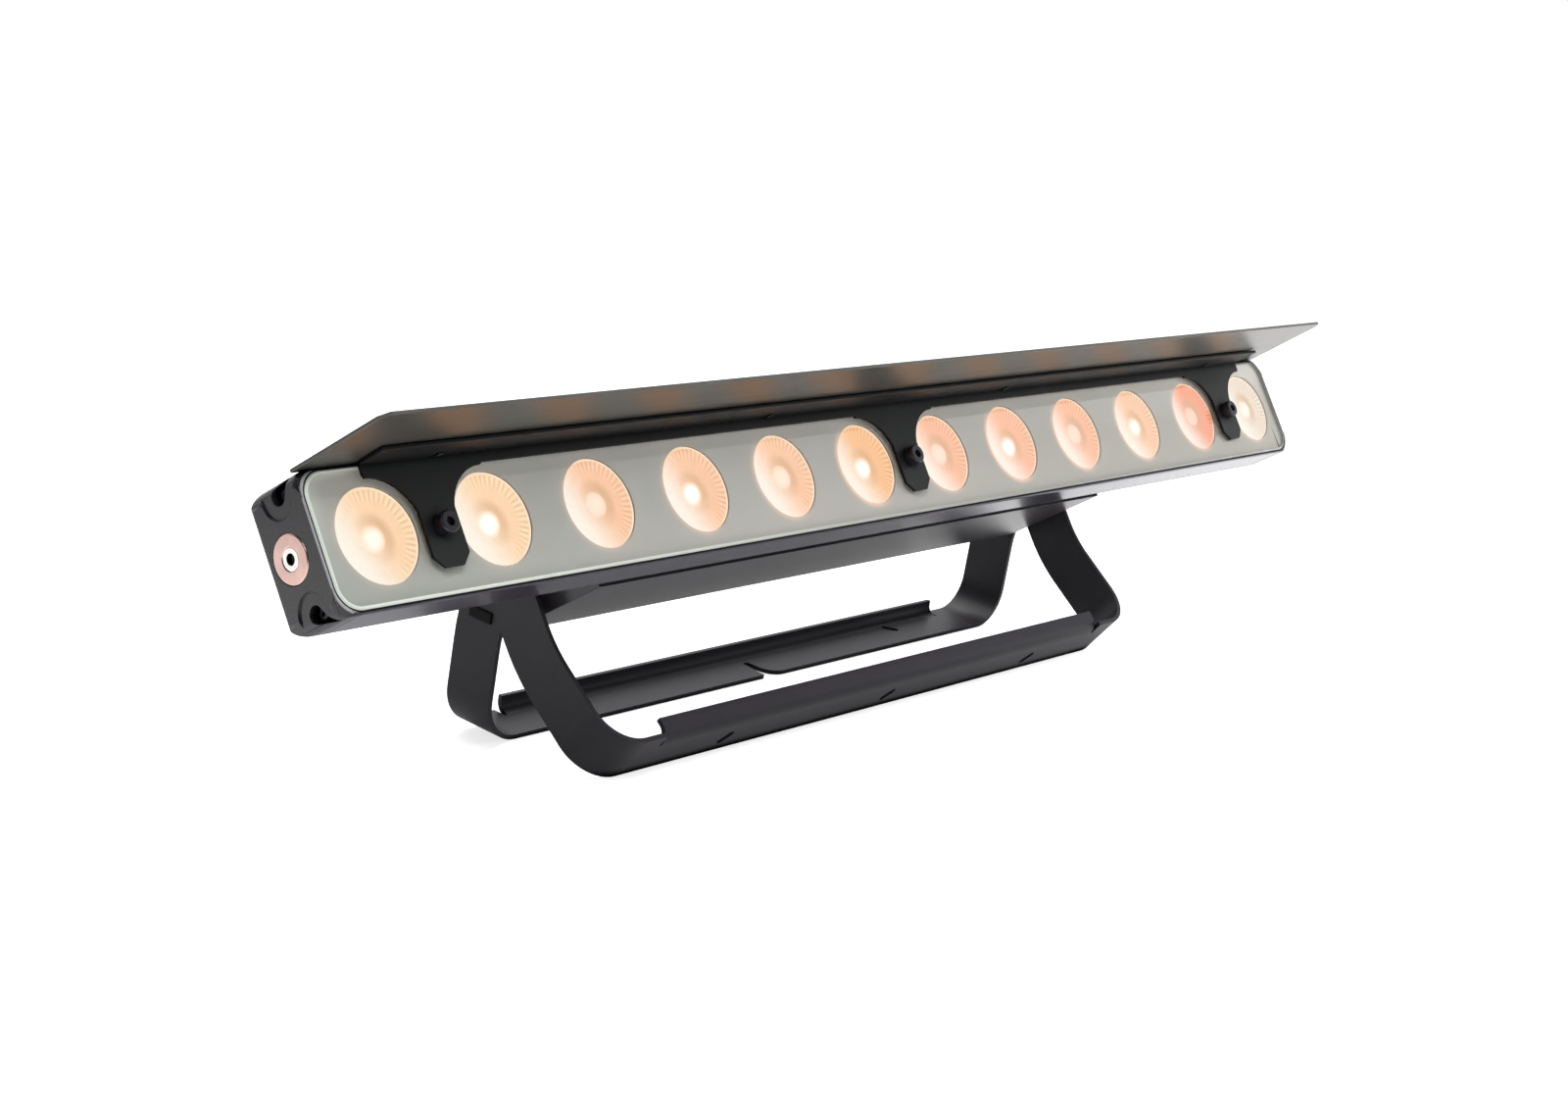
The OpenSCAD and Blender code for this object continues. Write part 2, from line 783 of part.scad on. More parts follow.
module power_outlet() {
    color("#c9c9c6") chassis_socket(1);
}

module data_inlet() {
    color("#8f9194") chassis_socket(2);
}

module data_outlet() {
    color("#8f9194") chassis_socket(3);
}

module connector_screws() {
    face_y = box_back + 2;
    color("silver") in_bar() for (x = socket_x, s = [-1, 1]) difference() {
        union() {
            pin_y(x + s * 9.5, s * 12, 1.5, box_back - 4, face_y + 0.5);
            pin_y(x + s * 9.5, s * 12, 2.6, face_y + fit, face_y + 1.6);
        }
        hex_y(x + s * 9.5, s * 12, 1.2, face_y + 0.8, face_y + 2);
    }
}

module fuse_holder() {
    color("#1d1d1f") in_bar() difference() {
        union() {
            pin_y(fuse_x, 0, 7.5, 110, box_back + 1);
            pin_y(fuse_x, 0, 9, box_back + fit, box_back + 5);
        }
        block([fuse_x - 6, box_back + 3.5, -0.8], [fuse_x + 6, box_back + 6, 0.8]);
    }
}

module vent_plug() {
    color("#1d1d1f") in_bar() {
        hex_y(vent_x, 0, 9, box_back + fit, box_back + 4);
        pin_y(vent_x, 0, 6, box_back - 8, box_back + 1);
        difference() {
            hex_y(vent_x, 0, 9, box_back - wall_t - 4, box_back - wall_t - fit);
            pin_y(vent_x, 0, 5.5, box_back - 10, box_back);
        }
    }
}

// A run of round cable through a list of points.
module cable(points, r) {
    for (i = [0:len(points) - 2]) {
        run = points[i + 1] - points[i];
        length = norm(run);
        translate(points[i]) rotate([0, acos(run[2] / length), atan2(run[1], run[0])])
            cylinder(r = r, h = length);
    }
    if (len(points) > 2)
        for (i = [1:len(points) - 2]) translate(points[i]) sphere(r = r);
}

module wiring_harness() {
    end_y = socket_end_y - 0.2;
    color("#b3322c") in_bar() {
        cable([[feed_x, board_y + 0.2, 0], [feed_x, 60, 0], [200.2, 60, 0]], 2.5);
        cable([[-81.8, 75, 10], [-62, 75, 10], [-62, 57, 10], [-48.2, 57, 10]], 2.5);
        for (i = [0, 1]) cable([[socket_x[i], 98.2, 0], [socket_x[i], end_y, 0]], 3);
        cable([[socket_x[3], end_y, 0], [socket_x[3], 92, 0], [socket_x[2], 92, 0],
            [30, 92, 0], [30, 117.8, 0]], 2.5);
        cable([[socket_x[2], end_y, 0], [socket_x[2], 92, 0]], 2.5);
    }
}

// ---- safety eye ----

module safety_eye() {
    base_y = box_back + 3;
    hole_y = base_y + eye_reach - 4;
    lug_r = 10;
    color("#8d8f92") in_bar() difference() {
        union() {
            block([-11, box_back + fit, eye_z - 7], [11, base_y, eye_z + 7]);
            block([-lug_r, base_y - 1, eye_z - 2], [lug_r, hole_y, eye_z + 2]);
            translate([0, hole_y, eye_z - 2]) cylinder(r = lug_r, h = 4);
            for (s = [-1, 1]) pin_y(s * 7, eye_z, 2, box_back - 6, box_back + 1);
        }
        translate([0, hole_y, eye_z - 3]) cylinder(r = eye_hole_r, h = 6);
    }
}

// ---- pivots and yokes ----

// Flanged stud through the box end, for the +X end.
module pivot_stud() {
    pin_x(pivot_y, 0, 12, shell_x - 8, shell_x);
    pin_x(pivot_y, 0, stud_r, shell_x - 1, knob_x + 10);
}

module left_pivot_stud() {
    color("silver") in_bar() mirror([1, 0, 0]) pivot_stud();
}

module right_pivot_stud() {
    color("silver") in_bar() pivot_stud();
}

// A pair of washers on the studs between x0 and x1.
module washer_pair(r, x0, x1) {
    in_bar() for (side = [0, 1]) mirror([side, 0, 0]) difference() {
        pin_x(pivot_y, 0, r, x0 + fit, x1 - fit);
        pin_x(pivot_y, 0, stud_r + fit, x0 - 1, x1 + 1);
    }
}

module inner_friction_washers() {
    color("#1b1b1b") washer_pair(washer_r, box_x, rear_arm_x - strap_t);
}

module outer_friction_washers() {
    color("#1b1b1b") washer_pair(washer_r, rear_arm_x, front_arm_x - strap_t);
}

module knob_washers() {
    color("silver") washer_pair(14, front_arm_x, knob_x);
}

// Lobed hand knob for the +X end.
module lock_knob() {
    lobes = 6;
    core_r = 17;
    lobe_r = 5;
    difference() {
        union() {
            pin_x(pivot_y, 0, core_r, knob_x + 2, knob_x + knob_t);
            pin_x(pivot_y, 0, 11, knob_x, knob_x + 3);
            for (i = [0:lobes - 1])
                pin_x(pivot_y + core_r * cos(i * 360 / lobes), core_r * sin(i * 360 / lobes),
                    lobe_r, knob_x + 3, knob_x + knob_t - 1);
        }
        pin_x(pivot_y, 0, stud_r + fit, knob_x - 1, knob_x + 11);
    }
}

module left_lock_knob() {
    color("#1c1c1e") in_bar() mirror([1, 0, 0]) lock_knob();
}

module right_lock_knob() {
    color("#1c1c1e") in_bar() lock_knob();
}

// The U of one strap in its own (x, z) plane, from the foot up to top_z.
module u_outline(arm_x, drop, top_z) {
    tall = drop + 50;
    difference() {
        translate([0, tall - drop]) difference() {
            round_rect(arm_x, tall, yoke_bend_r);
            round_rect(arm_x - strap_t, tall - strap_t, yoke_bend_r - strap_t);
        }
        translate([-arm_x - 1, top_z]) square([2 * arm_x + 2, 2 * tall]);
    }
}

// Angle between an arm's upper part and its strap.
function arm_lean(strap_mid, elbow_drop) = atan2(strap_mid, elbow_drop);

// Length that the elbow's bend takes from each of the two straight parts.
function bend_run(lean) = elbow_r * tan(lean / 2);

// Upper part of an arm in (y, z): it leans away from the pivot, then bends down over the strap.
module arm_outline(strap_mid, elbow_drop) {
    half = strap_w / 2;
    lean = arm_lean(strap_mid, elbow_drop);
    run = bend_run(lean);
    wedge = 2 * elbow_r;
    circle(half);
    rotate(lean) translate([-half, run - norm([strap_mid, elbow_drop])])
        square([strap_w, norm([strap_mid, elbow_drop]) - run]);
    translate([strap_mid - elbow_r, -elbow_drop - run]) intersection() {
        difference() {
            circle(elbow_r + half);
            circle(elbow_r - half);
        }
        polygon([[0, 0], [wedge, 0], [wedge, wedge * tan(lean)]]);
    }
}

// Turned-up lip along the strap edge at y = 0, on the y > 0 side of that edge.
module foot_flange(half_x) {
    along_x(-half_x, half_x) {
        translate([0, foot_flange_r]) square([strap_t, foot_flange_h - foot_flange_r]);
        intersection() {
            translate([foot_flange_r, foot_flange_r]) difference() {
                circle(foot_flange_r);
                circle(foot_flange_r - strap_t);
            }
            square(foot_flange_r);
        }
    }
}

// A strap bent into a U with its two arms, before any holes are cut.
// The lip is on the front edge when lip_side is 1 and on the rear edge when it is -1.
module yoke_blank(arm_x, drop, strap_y, elbow_drop, flange_x, lip_side) {
    strap_mid = strap_y + strap_w / 2;
    edge_y = lip_side > 0 ? strap_y : strap_y + strap_w;
    relief = 2;
    top_z = -elbow_drop - bend_run(arm_lean(strap_mid, elbow_drop));
    difference() {
        along_y(strap_y, strap_y + strap_w) u_outline(arm_x, drop, top_z);
        translate([-flange_x - relief, edge_y - foot_flange_r, -drop - 1])
            cube([2 * (flange_x + relief), 2 * foot_flange_r, strap_t + 2]);
    }
    translate([0, edge_y, -drop]) scale([1, lip_side, 1]) foot_flange(flange_x);
    for (s = [-1, 1])
        translate([s * (arm_x - strap_t / 2) - strap_t / 2, 0, 0])
            rotate([90, 0, 90]) linear_extrude(strap_t) arm_outline(strap_mid, elbow_drop);
}

module pivot_bores(arm_x) {
    for (s = [-1, 1])
        pin_x(0, 0, stud_r + fit, s * arm_x - 2 * strap_t, s * arm_x + 2 * strap_t);
}

// Slanted fixing slots through the foot.
module foot_slots(xs, y, drop) {
    for (x = xs)
        translate([x, y, -drop - 1]) rotate([0, 0, 37]) linear_extrude(strap_t + 2)
            slot(foot_slot_l, foot_slot_w);
}

module front_yoke() {
    color("#3b3a40") at_pivot(front_yoke_angle) difference() {
        yoke_blank(front_arm_x, front_foot_drop, front_strap_y, front_elbow_drop,
            front_flange_x, 1);
        pivot_bores(front_arm_x);
        foot_slots(concat(foot_slot_x, [0]), front_strap_y + strap_w - 13.5, front_foot_drop);
    }
}

// Notch in the middle of the rear foot's front edge, which lies on y = 0, with a flared mouth.
module foot_notch() {
    end_r = 2.8;
    depth = 20;
    mouth = 8.5;
    flare_r = 13;
    translate([-end_r, depth]) circle(end_r);
    difference() {
        polygon([
            [-mouth, -1], [flare_r, -1], [flare_r, flare_r], [0, flare_r], [0, depth],
            [-2 * end_r, depth]
        ]);
        translate([flare_r, flare_r]) circle(flare_r);
    }
}

module rear_yoke() {
    color("#3b3a40") at_pivot(rear_yoke_angle) difference() {
        yoke_blank(rear_arm_x, rear_foot_drop, rear_strap_y, rear_elbow_drop,
            rear_flange_x, -1);
        pivot_bores(rear_arm_x);
        foot_slots(foot_slot_x, rear_strap_y + 23, rear_foot_drop);
        translate([0, rear_strap_y, -rear_foot_drop - 1]) linear_extrude(strap_t + 2)
            foot_notch();
        for (s = [-1, 1]) translate([s * rear_arm_x, buffer_y, buffer_z])
            cube([4 * strap_t, buffer_w, buffer_h], center = true);
    }
}

// Rubber buffer pressed into the window of each rear arm, with a lip on the inside.
module arm_buffers() {
    lip = 1.5;
    proud = 1.3;
    inner_x = rear_arm_x - strap_t;
    color("#141414") at_pivot(rear_yoke_angle) for (side = [0, 1]) mirror([side, 0, 0])
        translate([0, buffer_y, buffer_z]) {
            block([inner_x - 1, fit - buffer_w / 2, fit - buffer_h / 2],
                [rear_arm_x + proud, buffer_w / 2 - fit, buffer_h / 2 - fit]);
            block([inner_x - 1, -buffer_w / 2 - lip, -buffer_h / 2 - lip],
                [inner_x - fit, buffer_w / 2 + lip, buffer_h / 2 + lip]);
        }
}

housing_extrusion();
left_end_cap();
right_end_cap();
left_magnet_disc();
right_magnet_disc();
magnet_screws();
end_cap_screws();
front_glass();
glass_gasket();
window_mask();
lenses();
lens_holders();
led_board();
led_emitters();
board_screws();
shield_posts();
post_seals();
shield_bracket();
shield_flap();
shield_rivets();
shield_screws();
chassis_tray();
tray_screws();
driver_box_shell();
left_box_end();
right_box_end();
box_screws();
power_supply();
driver_board();
control_board();
display_window();
menu_button();
down_button();
up_button();
enter_button();
power_inlet();
power_outlet();
data_inlet();
data_outlet();
connector_screws();
fuse_holder();
vent_plug();
wiring_harness();
safety_eye();
left_pivot_stud();
right_pivot_stud();
inner_friction_washers();
outer_friction_washers();
knob_washers();
left_lock_knob();
right_lock_knob();
front_yoke();
rear_yoke();
arm_buffers();
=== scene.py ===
"""LED strip batten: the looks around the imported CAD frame.

Lengths are in metres in the frame's own axes: X along the bar, +Y to the back, +Z up.
Most of the object is drawn in the bar's own frame, whose origin is the middle of the glass
face: x along the bar, y into the bar and z up the tilted face.
"""

import json
import math

import bmesh
import bpy
from mathutils import Matrix, Vector


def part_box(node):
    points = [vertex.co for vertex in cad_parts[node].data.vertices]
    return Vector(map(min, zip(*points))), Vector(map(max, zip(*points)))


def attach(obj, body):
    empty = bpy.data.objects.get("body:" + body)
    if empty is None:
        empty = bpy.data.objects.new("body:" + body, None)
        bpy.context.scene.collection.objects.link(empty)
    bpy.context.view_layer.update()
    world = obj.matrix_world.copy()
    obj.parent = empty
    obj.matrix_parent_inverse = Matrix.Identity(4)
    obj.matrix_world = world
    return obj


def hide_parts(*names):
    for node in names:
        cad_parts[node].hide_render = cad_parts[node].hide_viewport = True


MM = 0.001
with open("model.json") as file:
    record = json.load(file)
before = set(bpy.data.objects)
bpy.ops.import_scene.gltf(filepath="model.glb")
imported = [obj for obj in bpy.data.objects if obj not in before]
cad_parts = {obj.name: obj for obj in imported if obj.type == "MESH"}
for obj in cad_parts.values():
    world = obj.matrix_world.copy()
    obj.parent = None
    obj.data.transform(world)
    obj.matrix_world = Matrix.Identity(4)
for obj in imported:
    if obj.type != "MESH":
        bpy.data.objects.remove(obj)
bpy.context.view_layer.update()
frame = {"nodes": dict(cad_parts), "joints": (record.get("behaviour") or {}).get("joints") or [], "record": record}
scene = bpy.context.scene

# ---- the bar's frame, from the joints ----

JOINTS = {j["name"]: j for j in frame["joints"]}
PIVOT = Vector(JOINTS["front_yoke_swing"]["pos_m"])
BACK = -Vector(JOINTS["menu_press"]["axis"]).normalized()
UP = Vector((1, 0, 0)).cross(BACK)
PIVOT_DEPTH = 99.2 * MM
FACE = PIVOT - BACK * PIVOT_DEPTH
BAR = Matrix((
    (1, BACK.x, UP.x, FACE.x),
    (0, BACK.y, UP.y, FACE.y),
    (0, BACK.z, UP.z, FACE.z),
    (0, 0, 0, 1),
))

CELLS = 12
BAR_LENGTH = 1000 * MM
PITCH = BAR_LENGTH / CELLS
WINDOW_R = 27 * MM
LENS_FRONT = 4.1 * MM
GLASS_HALF_W = 497.5 * MM
GLASS_HALF_H = 37.5 * MM
GLASS_CORNER = 14 * MM
GLASS_T = 3 * MM
TAB_X = (-5 * PITCH, 0.0, 5 * PITCH)
SCREW_Z = -0.7 * MM
POST_HOLE_R = 6.6 * MM
LENS_TEETH = 44
BOX_PANEL = 131.75 * MM
SOCKET_FACE = 133.7 * MM
SOCKET_DEPTH = 15.2 * MM
PIN_SETBACK = 4 * MM
MAGNET_AXIS = (23 * MM, -0.5 * MM)
MAGNET_SOCKET_R = 3.4 * MM


def cell_x(i):
    return (i - (CELLS - 1) / 2) * PITCH


# ---- node material helpers ----

class Nodes:
    """A small wrapper that makes one material's node tree readable."""

    def __init__(self, name):
        self.material = bpy.data.materials.new(name)
        self.material.use_nodes = True
        self.tree = self.material.node_tree
        self.tree.nodes.clear()
        self.output = self.tree.nodes.new("ShaderNodeOutputMaterial")

    def add(self, kind, inputs=None, **settings):
        node = self.tree.nodes.new(kind)
        for key, value in settings.items():
            setattr(node, key, value)
        for key, value in (inputs or {}).items():
            self.feed(node.inputs[key], value)
        return node

    def feed(self, socket, value):
        if isinstance(value, bpy.types.NodeSocket):
            self.tree.links.new(value, socket)
        else:
            socket.default_value = value

    def math(self, operation, a, b=0.0, c=0.0, clamp=False):
        node = self.add("ShaderNodeMath", operation=operation, use_clamp=clamp)
        for socket, value in zip(node.inputs, (a, b, c)):
            self.feed(socket, value)
        return node.outputs[0]

    def ramp(self, value, stops, interpolation="LINEAR"):
        node = self.add("ShaderNodeValToRGB", {"Fac": value})
        node.color_ramp.interpolation = interpolation
        while len(node.color_ramp.elements) < len(stops):
            node.color_ramp.elements.new(0.5)
        for element, (place, colour) in zip(node.color_ramp.elements, stops):
            element.position = place
            element.color = tuple(colour) + (1.0,)
        return node.outputs["Color"]

    def mix(self, factor, a, b):
        node = self.add("ShaderNodeMix", data_type="RGBA")
        self.feed(node.inputs["Factor"], factor)
        self.feed(node.inputs["A"], a)
        self.feed(node.inputs["B"], b)
        return node.outputs["Result"]

    def noise(self, vector, scale, detail=4.0, roughness=0.55):
        node = self.add("ShaderNodeTexNoise", {
            "Vector": vector, "Scale": scale, "Detail": detail, "Roughness": roughness})
        return node.outputs["Fac"]

    def place(self, stretch=(1, 1, 1)):
        """The bar's own coordinates, so that grain and brushing follow the bar."""
        coords = self.add("ShaderNodeTexCoord", object=bar_empty)
        mapping = self.add("ShaderNodeMapping", {
            "Vector": coords.outputs["Object"], "Scale": stretch})
        return mapping.outputs["Vector"]

    def bump(self, height, strength, distance):
        """Fine relief on top of slightly rounded edges."""
        rounded = self.add("ShaderNodeBevel", {"Radius": 0.25 * MM}, samples=4)
        node = self.add("ShaderNodeBump", {
            "Height": height, "Strength": strength, "Distance": distance,
            "Normal": rounded.outputs["Normal"]})
        return node.outputs["Normal"]

    def step(self, value, low, high):
        """0 below low, 1 above high, smooth in between."""
        node = self.add("ShaderNodeMapRange", {
            "Value": value, "From Min": low, "From Max": high}, interpolation_type="SMOOTHSTEP")
        return node.outputs["Result"]

    def split(self, vector):
        node = self.add("ShaderNodeSeparateXYZ", {"Vector": vector})
        return node.outputs["X"], node.outputs["Y"], node.outputs["Z"]

    def hypot(self, a, b):
        squares = self.math("ADD", self.math("MULTIPLY", a, a), self.math("MULTIPLY", b, b))
        return self.math("SQRT", squares)

    def finish(self, shader):
        self.tree.links.new(shader, self.output.inputs["Surface"])
        return self.material


def srgb(red, green, blue):
    """Linear colour from 0-255 screen values."""
    def linear(value):
        v = value / 255
        return v / 12.92 if v <= 0.04045 else ((v + 0.055) / 1.055) ** 2.4
    return (linear(red), linear(green), linear(blue))


def scaled(colour, factor):
    return tuple(min(1.0, c * factor) for c in colour[:3])


def opaque(colour):
    return tuple(colour[:3]) + (1.0,)


def coated(name, colour, roughness=0.5, grain=0.3, grain_scale=1500.0, wear_and_glint=0.12, metallic=0.0,
           shine=0.5, bare_lip_and_highlight=False):
    """Powder coat or satin paint: fine peel, slow colour drift, lighter edges that are part rubbed wear and part
    painted highlight, and painted shade in creases.

    When the lip flag is set, the rim round the glass is painted light grey: bare metal, machined after painting,
    with a painted highlight on it.
    """
    n = Nodes(name)
    where = n.place()
    fine = n.noise(where, grain_scale, 3.0, 0.6)
    slow = n.noise(where, 18.0, 5.0, 0.6)
    base = n.ramp(slow, [(0.3, scaled(colour, 0.9)), (0.7, scaled(colour, 1.12))])
    # Edges are painted lighter: part rubbed wear, part painted highlight.
    geometry = n.add("ShaderNodeNewGeometry")
    edge = n.math("SUBTRACT", geometry.outputs["Pointiness"], 0.52)
    edge = n.math("MULTIPLY", edge, 9.0, clamp=True)
    edge = n.math("MULTIPLY", edge, n.noise(where, 240.0, 4.0, 0.7))
    edge = n.math("MULTIPLY", edge, wear_and_glint, clamp=True)
    base = n.mix(edge, base, opaque(scaled(colour, 3.4)))
    # Painted highlight on the rim round the glass, over its bare metal.
    if bare_lip_and_highlight:
        lip_and_highlight = n.step(n.split(where)[1], 1.2 * MM, 0.6 * MM)
        base = n.mix(lip_and_highlight, base, opaque(srgb(176, 174, 178)))
    # Painted shade: creases, corners and gaps between parts, found by ambient occlusion, are darkened towards near
    # black and lose their shine.
    painted_crease_shade = n.add("ShaderNodeAmbientOcclusion", {"Distance": 7 * MM}, samples=6).outputs["AO"]
    painted_crease_shade = n.step(painted_crease_shade, 0.35, 0.95)
    base = n.mix(painted_crease_shade, opaque(scaled(colour, 0.12)), base)
    rough = n.math("MULTIPLY_ADD", fine, 0.16, roughness - 0.08)
    shader = n.add("ShaderNodeBsdfPrincipled", {
        "Base Color": base, "Roughness": rough, "Metallic": metallic,
        "Specular IOR Level": n.math("MULTIPLY", painted_crease_shade, shine),
        "Normal": n.bump(fine, grain, 0.15 * MM)})
    return n.finish(shader.outputs["BSDF"])


def brushed(name, colour, roughness=0.28, stretch=(6, 900, 900), strength=0.25, metallic=1.0):
    """Metal with fine relief, which a stretch along x turns into lines along the bar."""
    n = Nodes(name)
    lines = n.noise(n.place(stretch), 1.0, 3.0, 0.6)
    slow = n.noise(n.place(), 25.0, 4.0, 0.55)
    base = n.ramp(slow, [(0.3, scaled(colour, 0.9)), (0.7, scaled(colour, 1.1))])
    rough = n.math("MULTIPLY_ADD", lines, 0.16, roughness - 0.08)
    shader = n.add("ShaderNodeBsdfPrincipled", {
        "Base Color": base, "Roughness": rough, "Metallic": metallic,
        "Normal": n.bump(lines, strength, 0.05 * MM)})
    return n.finish(shader.outputs["BSDF"])


def turned(name, colour, centre, roughness=0.22, painted_shade_r=0.0):
    """Plated steel with fine rings round an axis along X through centre, a (y, z) pair.

    Inside the given radius, where a tool socket is, the metal is painted near black as the shade in the socket.
    """
    n = Nodes(name)
    _, y, z = n.split(n.place())
    away = n.hypot(n.math("SUBTRACT", y, centre[0]), n.math("SUBTRACT", z, centre[1]))
    rings = n.math("SINE", n.math("MULTIPLY", away, 2 * math.pi / (0.35 * MM)))
    rings = n.math("MULTIPLY", rings, n.noise(n.place(), 600.0, 3.0, 0.6))
    slow = n.noise(n.place(), 90.0, 4.0, 0.55)
    base = n.ramp(slow, [(0.3, scaled(colour, 0.88)), (0.7, scaled(colour, 1.12))])
    # Painted shade: the tool socket is painted near black.
    base = n.mix(n.step(away, painted_shade_r, painted_shade_r - 0.3 * MM), base, opaque((0.008, 0.008, 0.009)))
    rough = n.math("MULTIPLY_ADD", slow, 0.16, roughness - 0.08)
    shader = n.add("ShaderNodeBsdfPrincipled", {
        "Base Color": base, "Roughness": rough, "Metallic": 1.0,
        "Normal": n.bump(rings, 0.25, 0.02 * MM)})
    return n.finish(shader.outputs["BSDF"])


def plastic(name, colour, roughness=0.45, grain=0.2, grain_scale=900.0, shine=0.5):
    """Moulded plastic or rubber with a fine spark texture."""
    n = Nodes(name)
    where = n.place()
    fine = n.noise(where, grain_scale, 3.0, 0.55)
    slow = n.noise(where, 40.0, 4.0, 0.5)
    base = n.ramp(slow, [(0.3, scaled(colour, 0.9)), (0.7, scaled(colour, 1.1))])
    rough = n.math("MULTIPLY_ADD", fine, 0.16, roughness - 0.08)
    shader = n.add("ShaderNodeBsdfPrincipled", {
        "Base Color": base, "Roughness": rough, "Specular IOR Level": shine,
        "Normal": n.bump(fine, grain, 0.1 * MM)})
    return n.finish(shader.outputs["BSDF"])


def circuit(name, colour, trace):
    """Solder mask with a faint pattern of tracks under it."""
    n = Nodes(name)
    cells = n.add("ShaderNodeTexBrick", {
        "Vector": n.place((1, 0, 1)), "Scale": 160.0, "Mortar Size": 0.03,
        "Color1": opaque(colour), "Color2": opaque(scaled(colour, 1.15)),
        "Mortar": opaque(trace)})
    fine = n.noise(n.place(), 700.0, 3.0, 0.5)
    shader = n.add("ShaderNodeBsdfPrincipled", {
        "Base Color": cells.outputs["Color"], "Roughness": 0.35,
        "Normal": n.bump(fine, 0.1, 0.05 * MM)})
    return n.finish(shader.outputs["BSDF"])


bar_empty = bpy.data.objects.new("bar_axes", None)
scene.collection.objects.link(bar_empty)
bar_empty.matrix_world = BAR
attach(bar_empty, "fixture")

# ---- colours ----

CREAM = srgb(255, 214, 172)
PEACH = srgb(252, 197, 157)
AMBER = srgb(250, 188, 132)
PINK = srgb(252, 184, 146)
CORAL = srgb(248, 154, 114)
WARM_WHITE = srgb(238, 218, 198)
CELL_TINTS = (CREAM, CREAM, PEACH, PEACH, PEACH, AMBER,
              PINK, PINK, PINK, PEACH, CORAL, WARM_WHITE)
CELL_HALOS = (0.2, 0.2, 0.3, 0.4, 0.5, 0.9, 0.5, 1.0, 0.9, 0.8, 0.7, 0.5)
CELL_CORES = (0.7, 1.0, 0.3, 1.0, 0.35, 1.0, 0.3, 1.0, 0.25, 0.8, 0.15, 0.5)
LENS_THROW = 0.75
# Film colours along the bar from the near end: its own tint drift, with painted glow from the cells in it.
MASK_TINTS_AND_GLOW = (srgb(195, 197, 193), srgb(209, 203, 199),
              srgb(199, 193, 187), srgb(174, 166, 158))


def lens_look():
    """A lit moulded lens: bright on the side away from the viewer, a hot core and fine teeth."""
    n = Nodes("lit_lens")
    coords = n.add("ShaderNodeTexCoord")
    x, _, z = n.split(coords.outputs["Object"])
    x = n.math("DIVIDE", x, WINDOW_R)
    z = n.math("DIVIDE", z, WINDOW_R)
    away = n.hypot(x, z)
    side = n.math("ADD", n.math("MULTIPLY", x, -0.9), n.math("MULTIPLY", z, -0.42))
    tint = n.add("ShaderNodeObjectInfo").outputs["Color"]
    crescent = n.step(side, -0.25, 0.9)
    colour = n.mix(n.math("MULTIPLY", crescent, 0.85), tint, opaque(srgb(255, 252, 242)))
    angle = n.math("ARCTAN2", z, x)
    teeth = n.math("SINE", n.math("MULTIPLY", angle, LENS_TEETH))
    band = n.math("MULTIPLY", n.step(away, 0.66, 0.78), n.step(away, 0.97, 0.9))
    band = n.math("MULTIPLY", band, n.step(side, 0.35, -0.45))
    uneven = n.noise(coords.outputs["Object"], 120.0, 2.0, 0.6)
    teeth = n.math("MULTIPLY", n.math("MULTIPLY", teeth, band), n.math("MULTIPLY", uneven, 0.3))
    hot = n.add("ShaderNodeObjectInfo").outputs["Alpha"]
    core_away = n.hypot(n.math("MULTIPLY_ADD", hot, 0.12, x),
                        n.math("MULTIPLY_ADD", hot, 0.13, n.math("SUBTRACT", z, 0.04)))
    ring = n.math("MULTIPLY", n.step(core_away, 0.2, 0.34), n.step(core_away, 0.62, 0.4))
    ring = n.math("MULTIPLY", ring, n.step(side, 0.45, -0.5))
    colour = n.mix(n.math("MULTIPLY", ring, 0.75), colour, opaque(srgb(216, 170, 128)))
    core = n.math("MULTIPLY", n.step(core_away, 0.33, 0.08), hot)
    colour = n.mix(n.math("MULTIPLY", core, 0.95), colour, opaque(srgb(255, 253, 248)))
    button = n.math("MULTIPLY", n.step(core_away, 0.3, 0.25), n.math("SUBTRACT", 1.0, hot))
    colour = n.mix(n.math("MULTIPLY", button, 0.5), colour, opaque(srgb(255, 238, 220)))
    rim = n.math("MULTIPLY", n.step(away, 0.93, 0.965), n.step(side, 0.3, -0.5))
    colour = n.mix(n.math("MULTIPLY", rim, 0.85), colour, opaque(srgb(255, 236, 210)))
    mottle = n.noise(coords.outputs["Object"], 260.0, 3.0, 0.5)
    bright = n.math("ADD", n.math("MULTIPLY_ADD", mottle, 0.14, 1.0), teeth)
    bright = n.math("ADD", bright, n.math("MULTIPLY", core, 0.25))
    path = n.add("ShaderNodeLightPath")
    bounced = n.math("ADD", path.outputs["Diffuse Depth"], path.outputs["Glossy Depth"])
    bounced = n.math("MINIMUM", bounced, 1.0)
    strength = n.math("MULTIPLY", bright, n.math("MULTIPLY_ADD", bounced, LENS_THROW - 1, 1.0))
    warmed = n.mix(bounced, colour, opaque(srgb(255, 176, 110)))
    glow = n.add("ShaderNodeEmission", {"Color": warmed, "Strength": strength})
    gloss = n.add("ShaderNodeBsdfGlossy", {"Color": opaque((1, 1, 1)), "Roughness": 0.15})
    film = n.add("ShaderNodeMixShader", {"Fac": 0.03})
    n.feed(film.inputs[1], glow.outputs[0])
    n.feed(film.inputs[2], gloss.outputs[0])
    return n.finish(film.outputs[0])


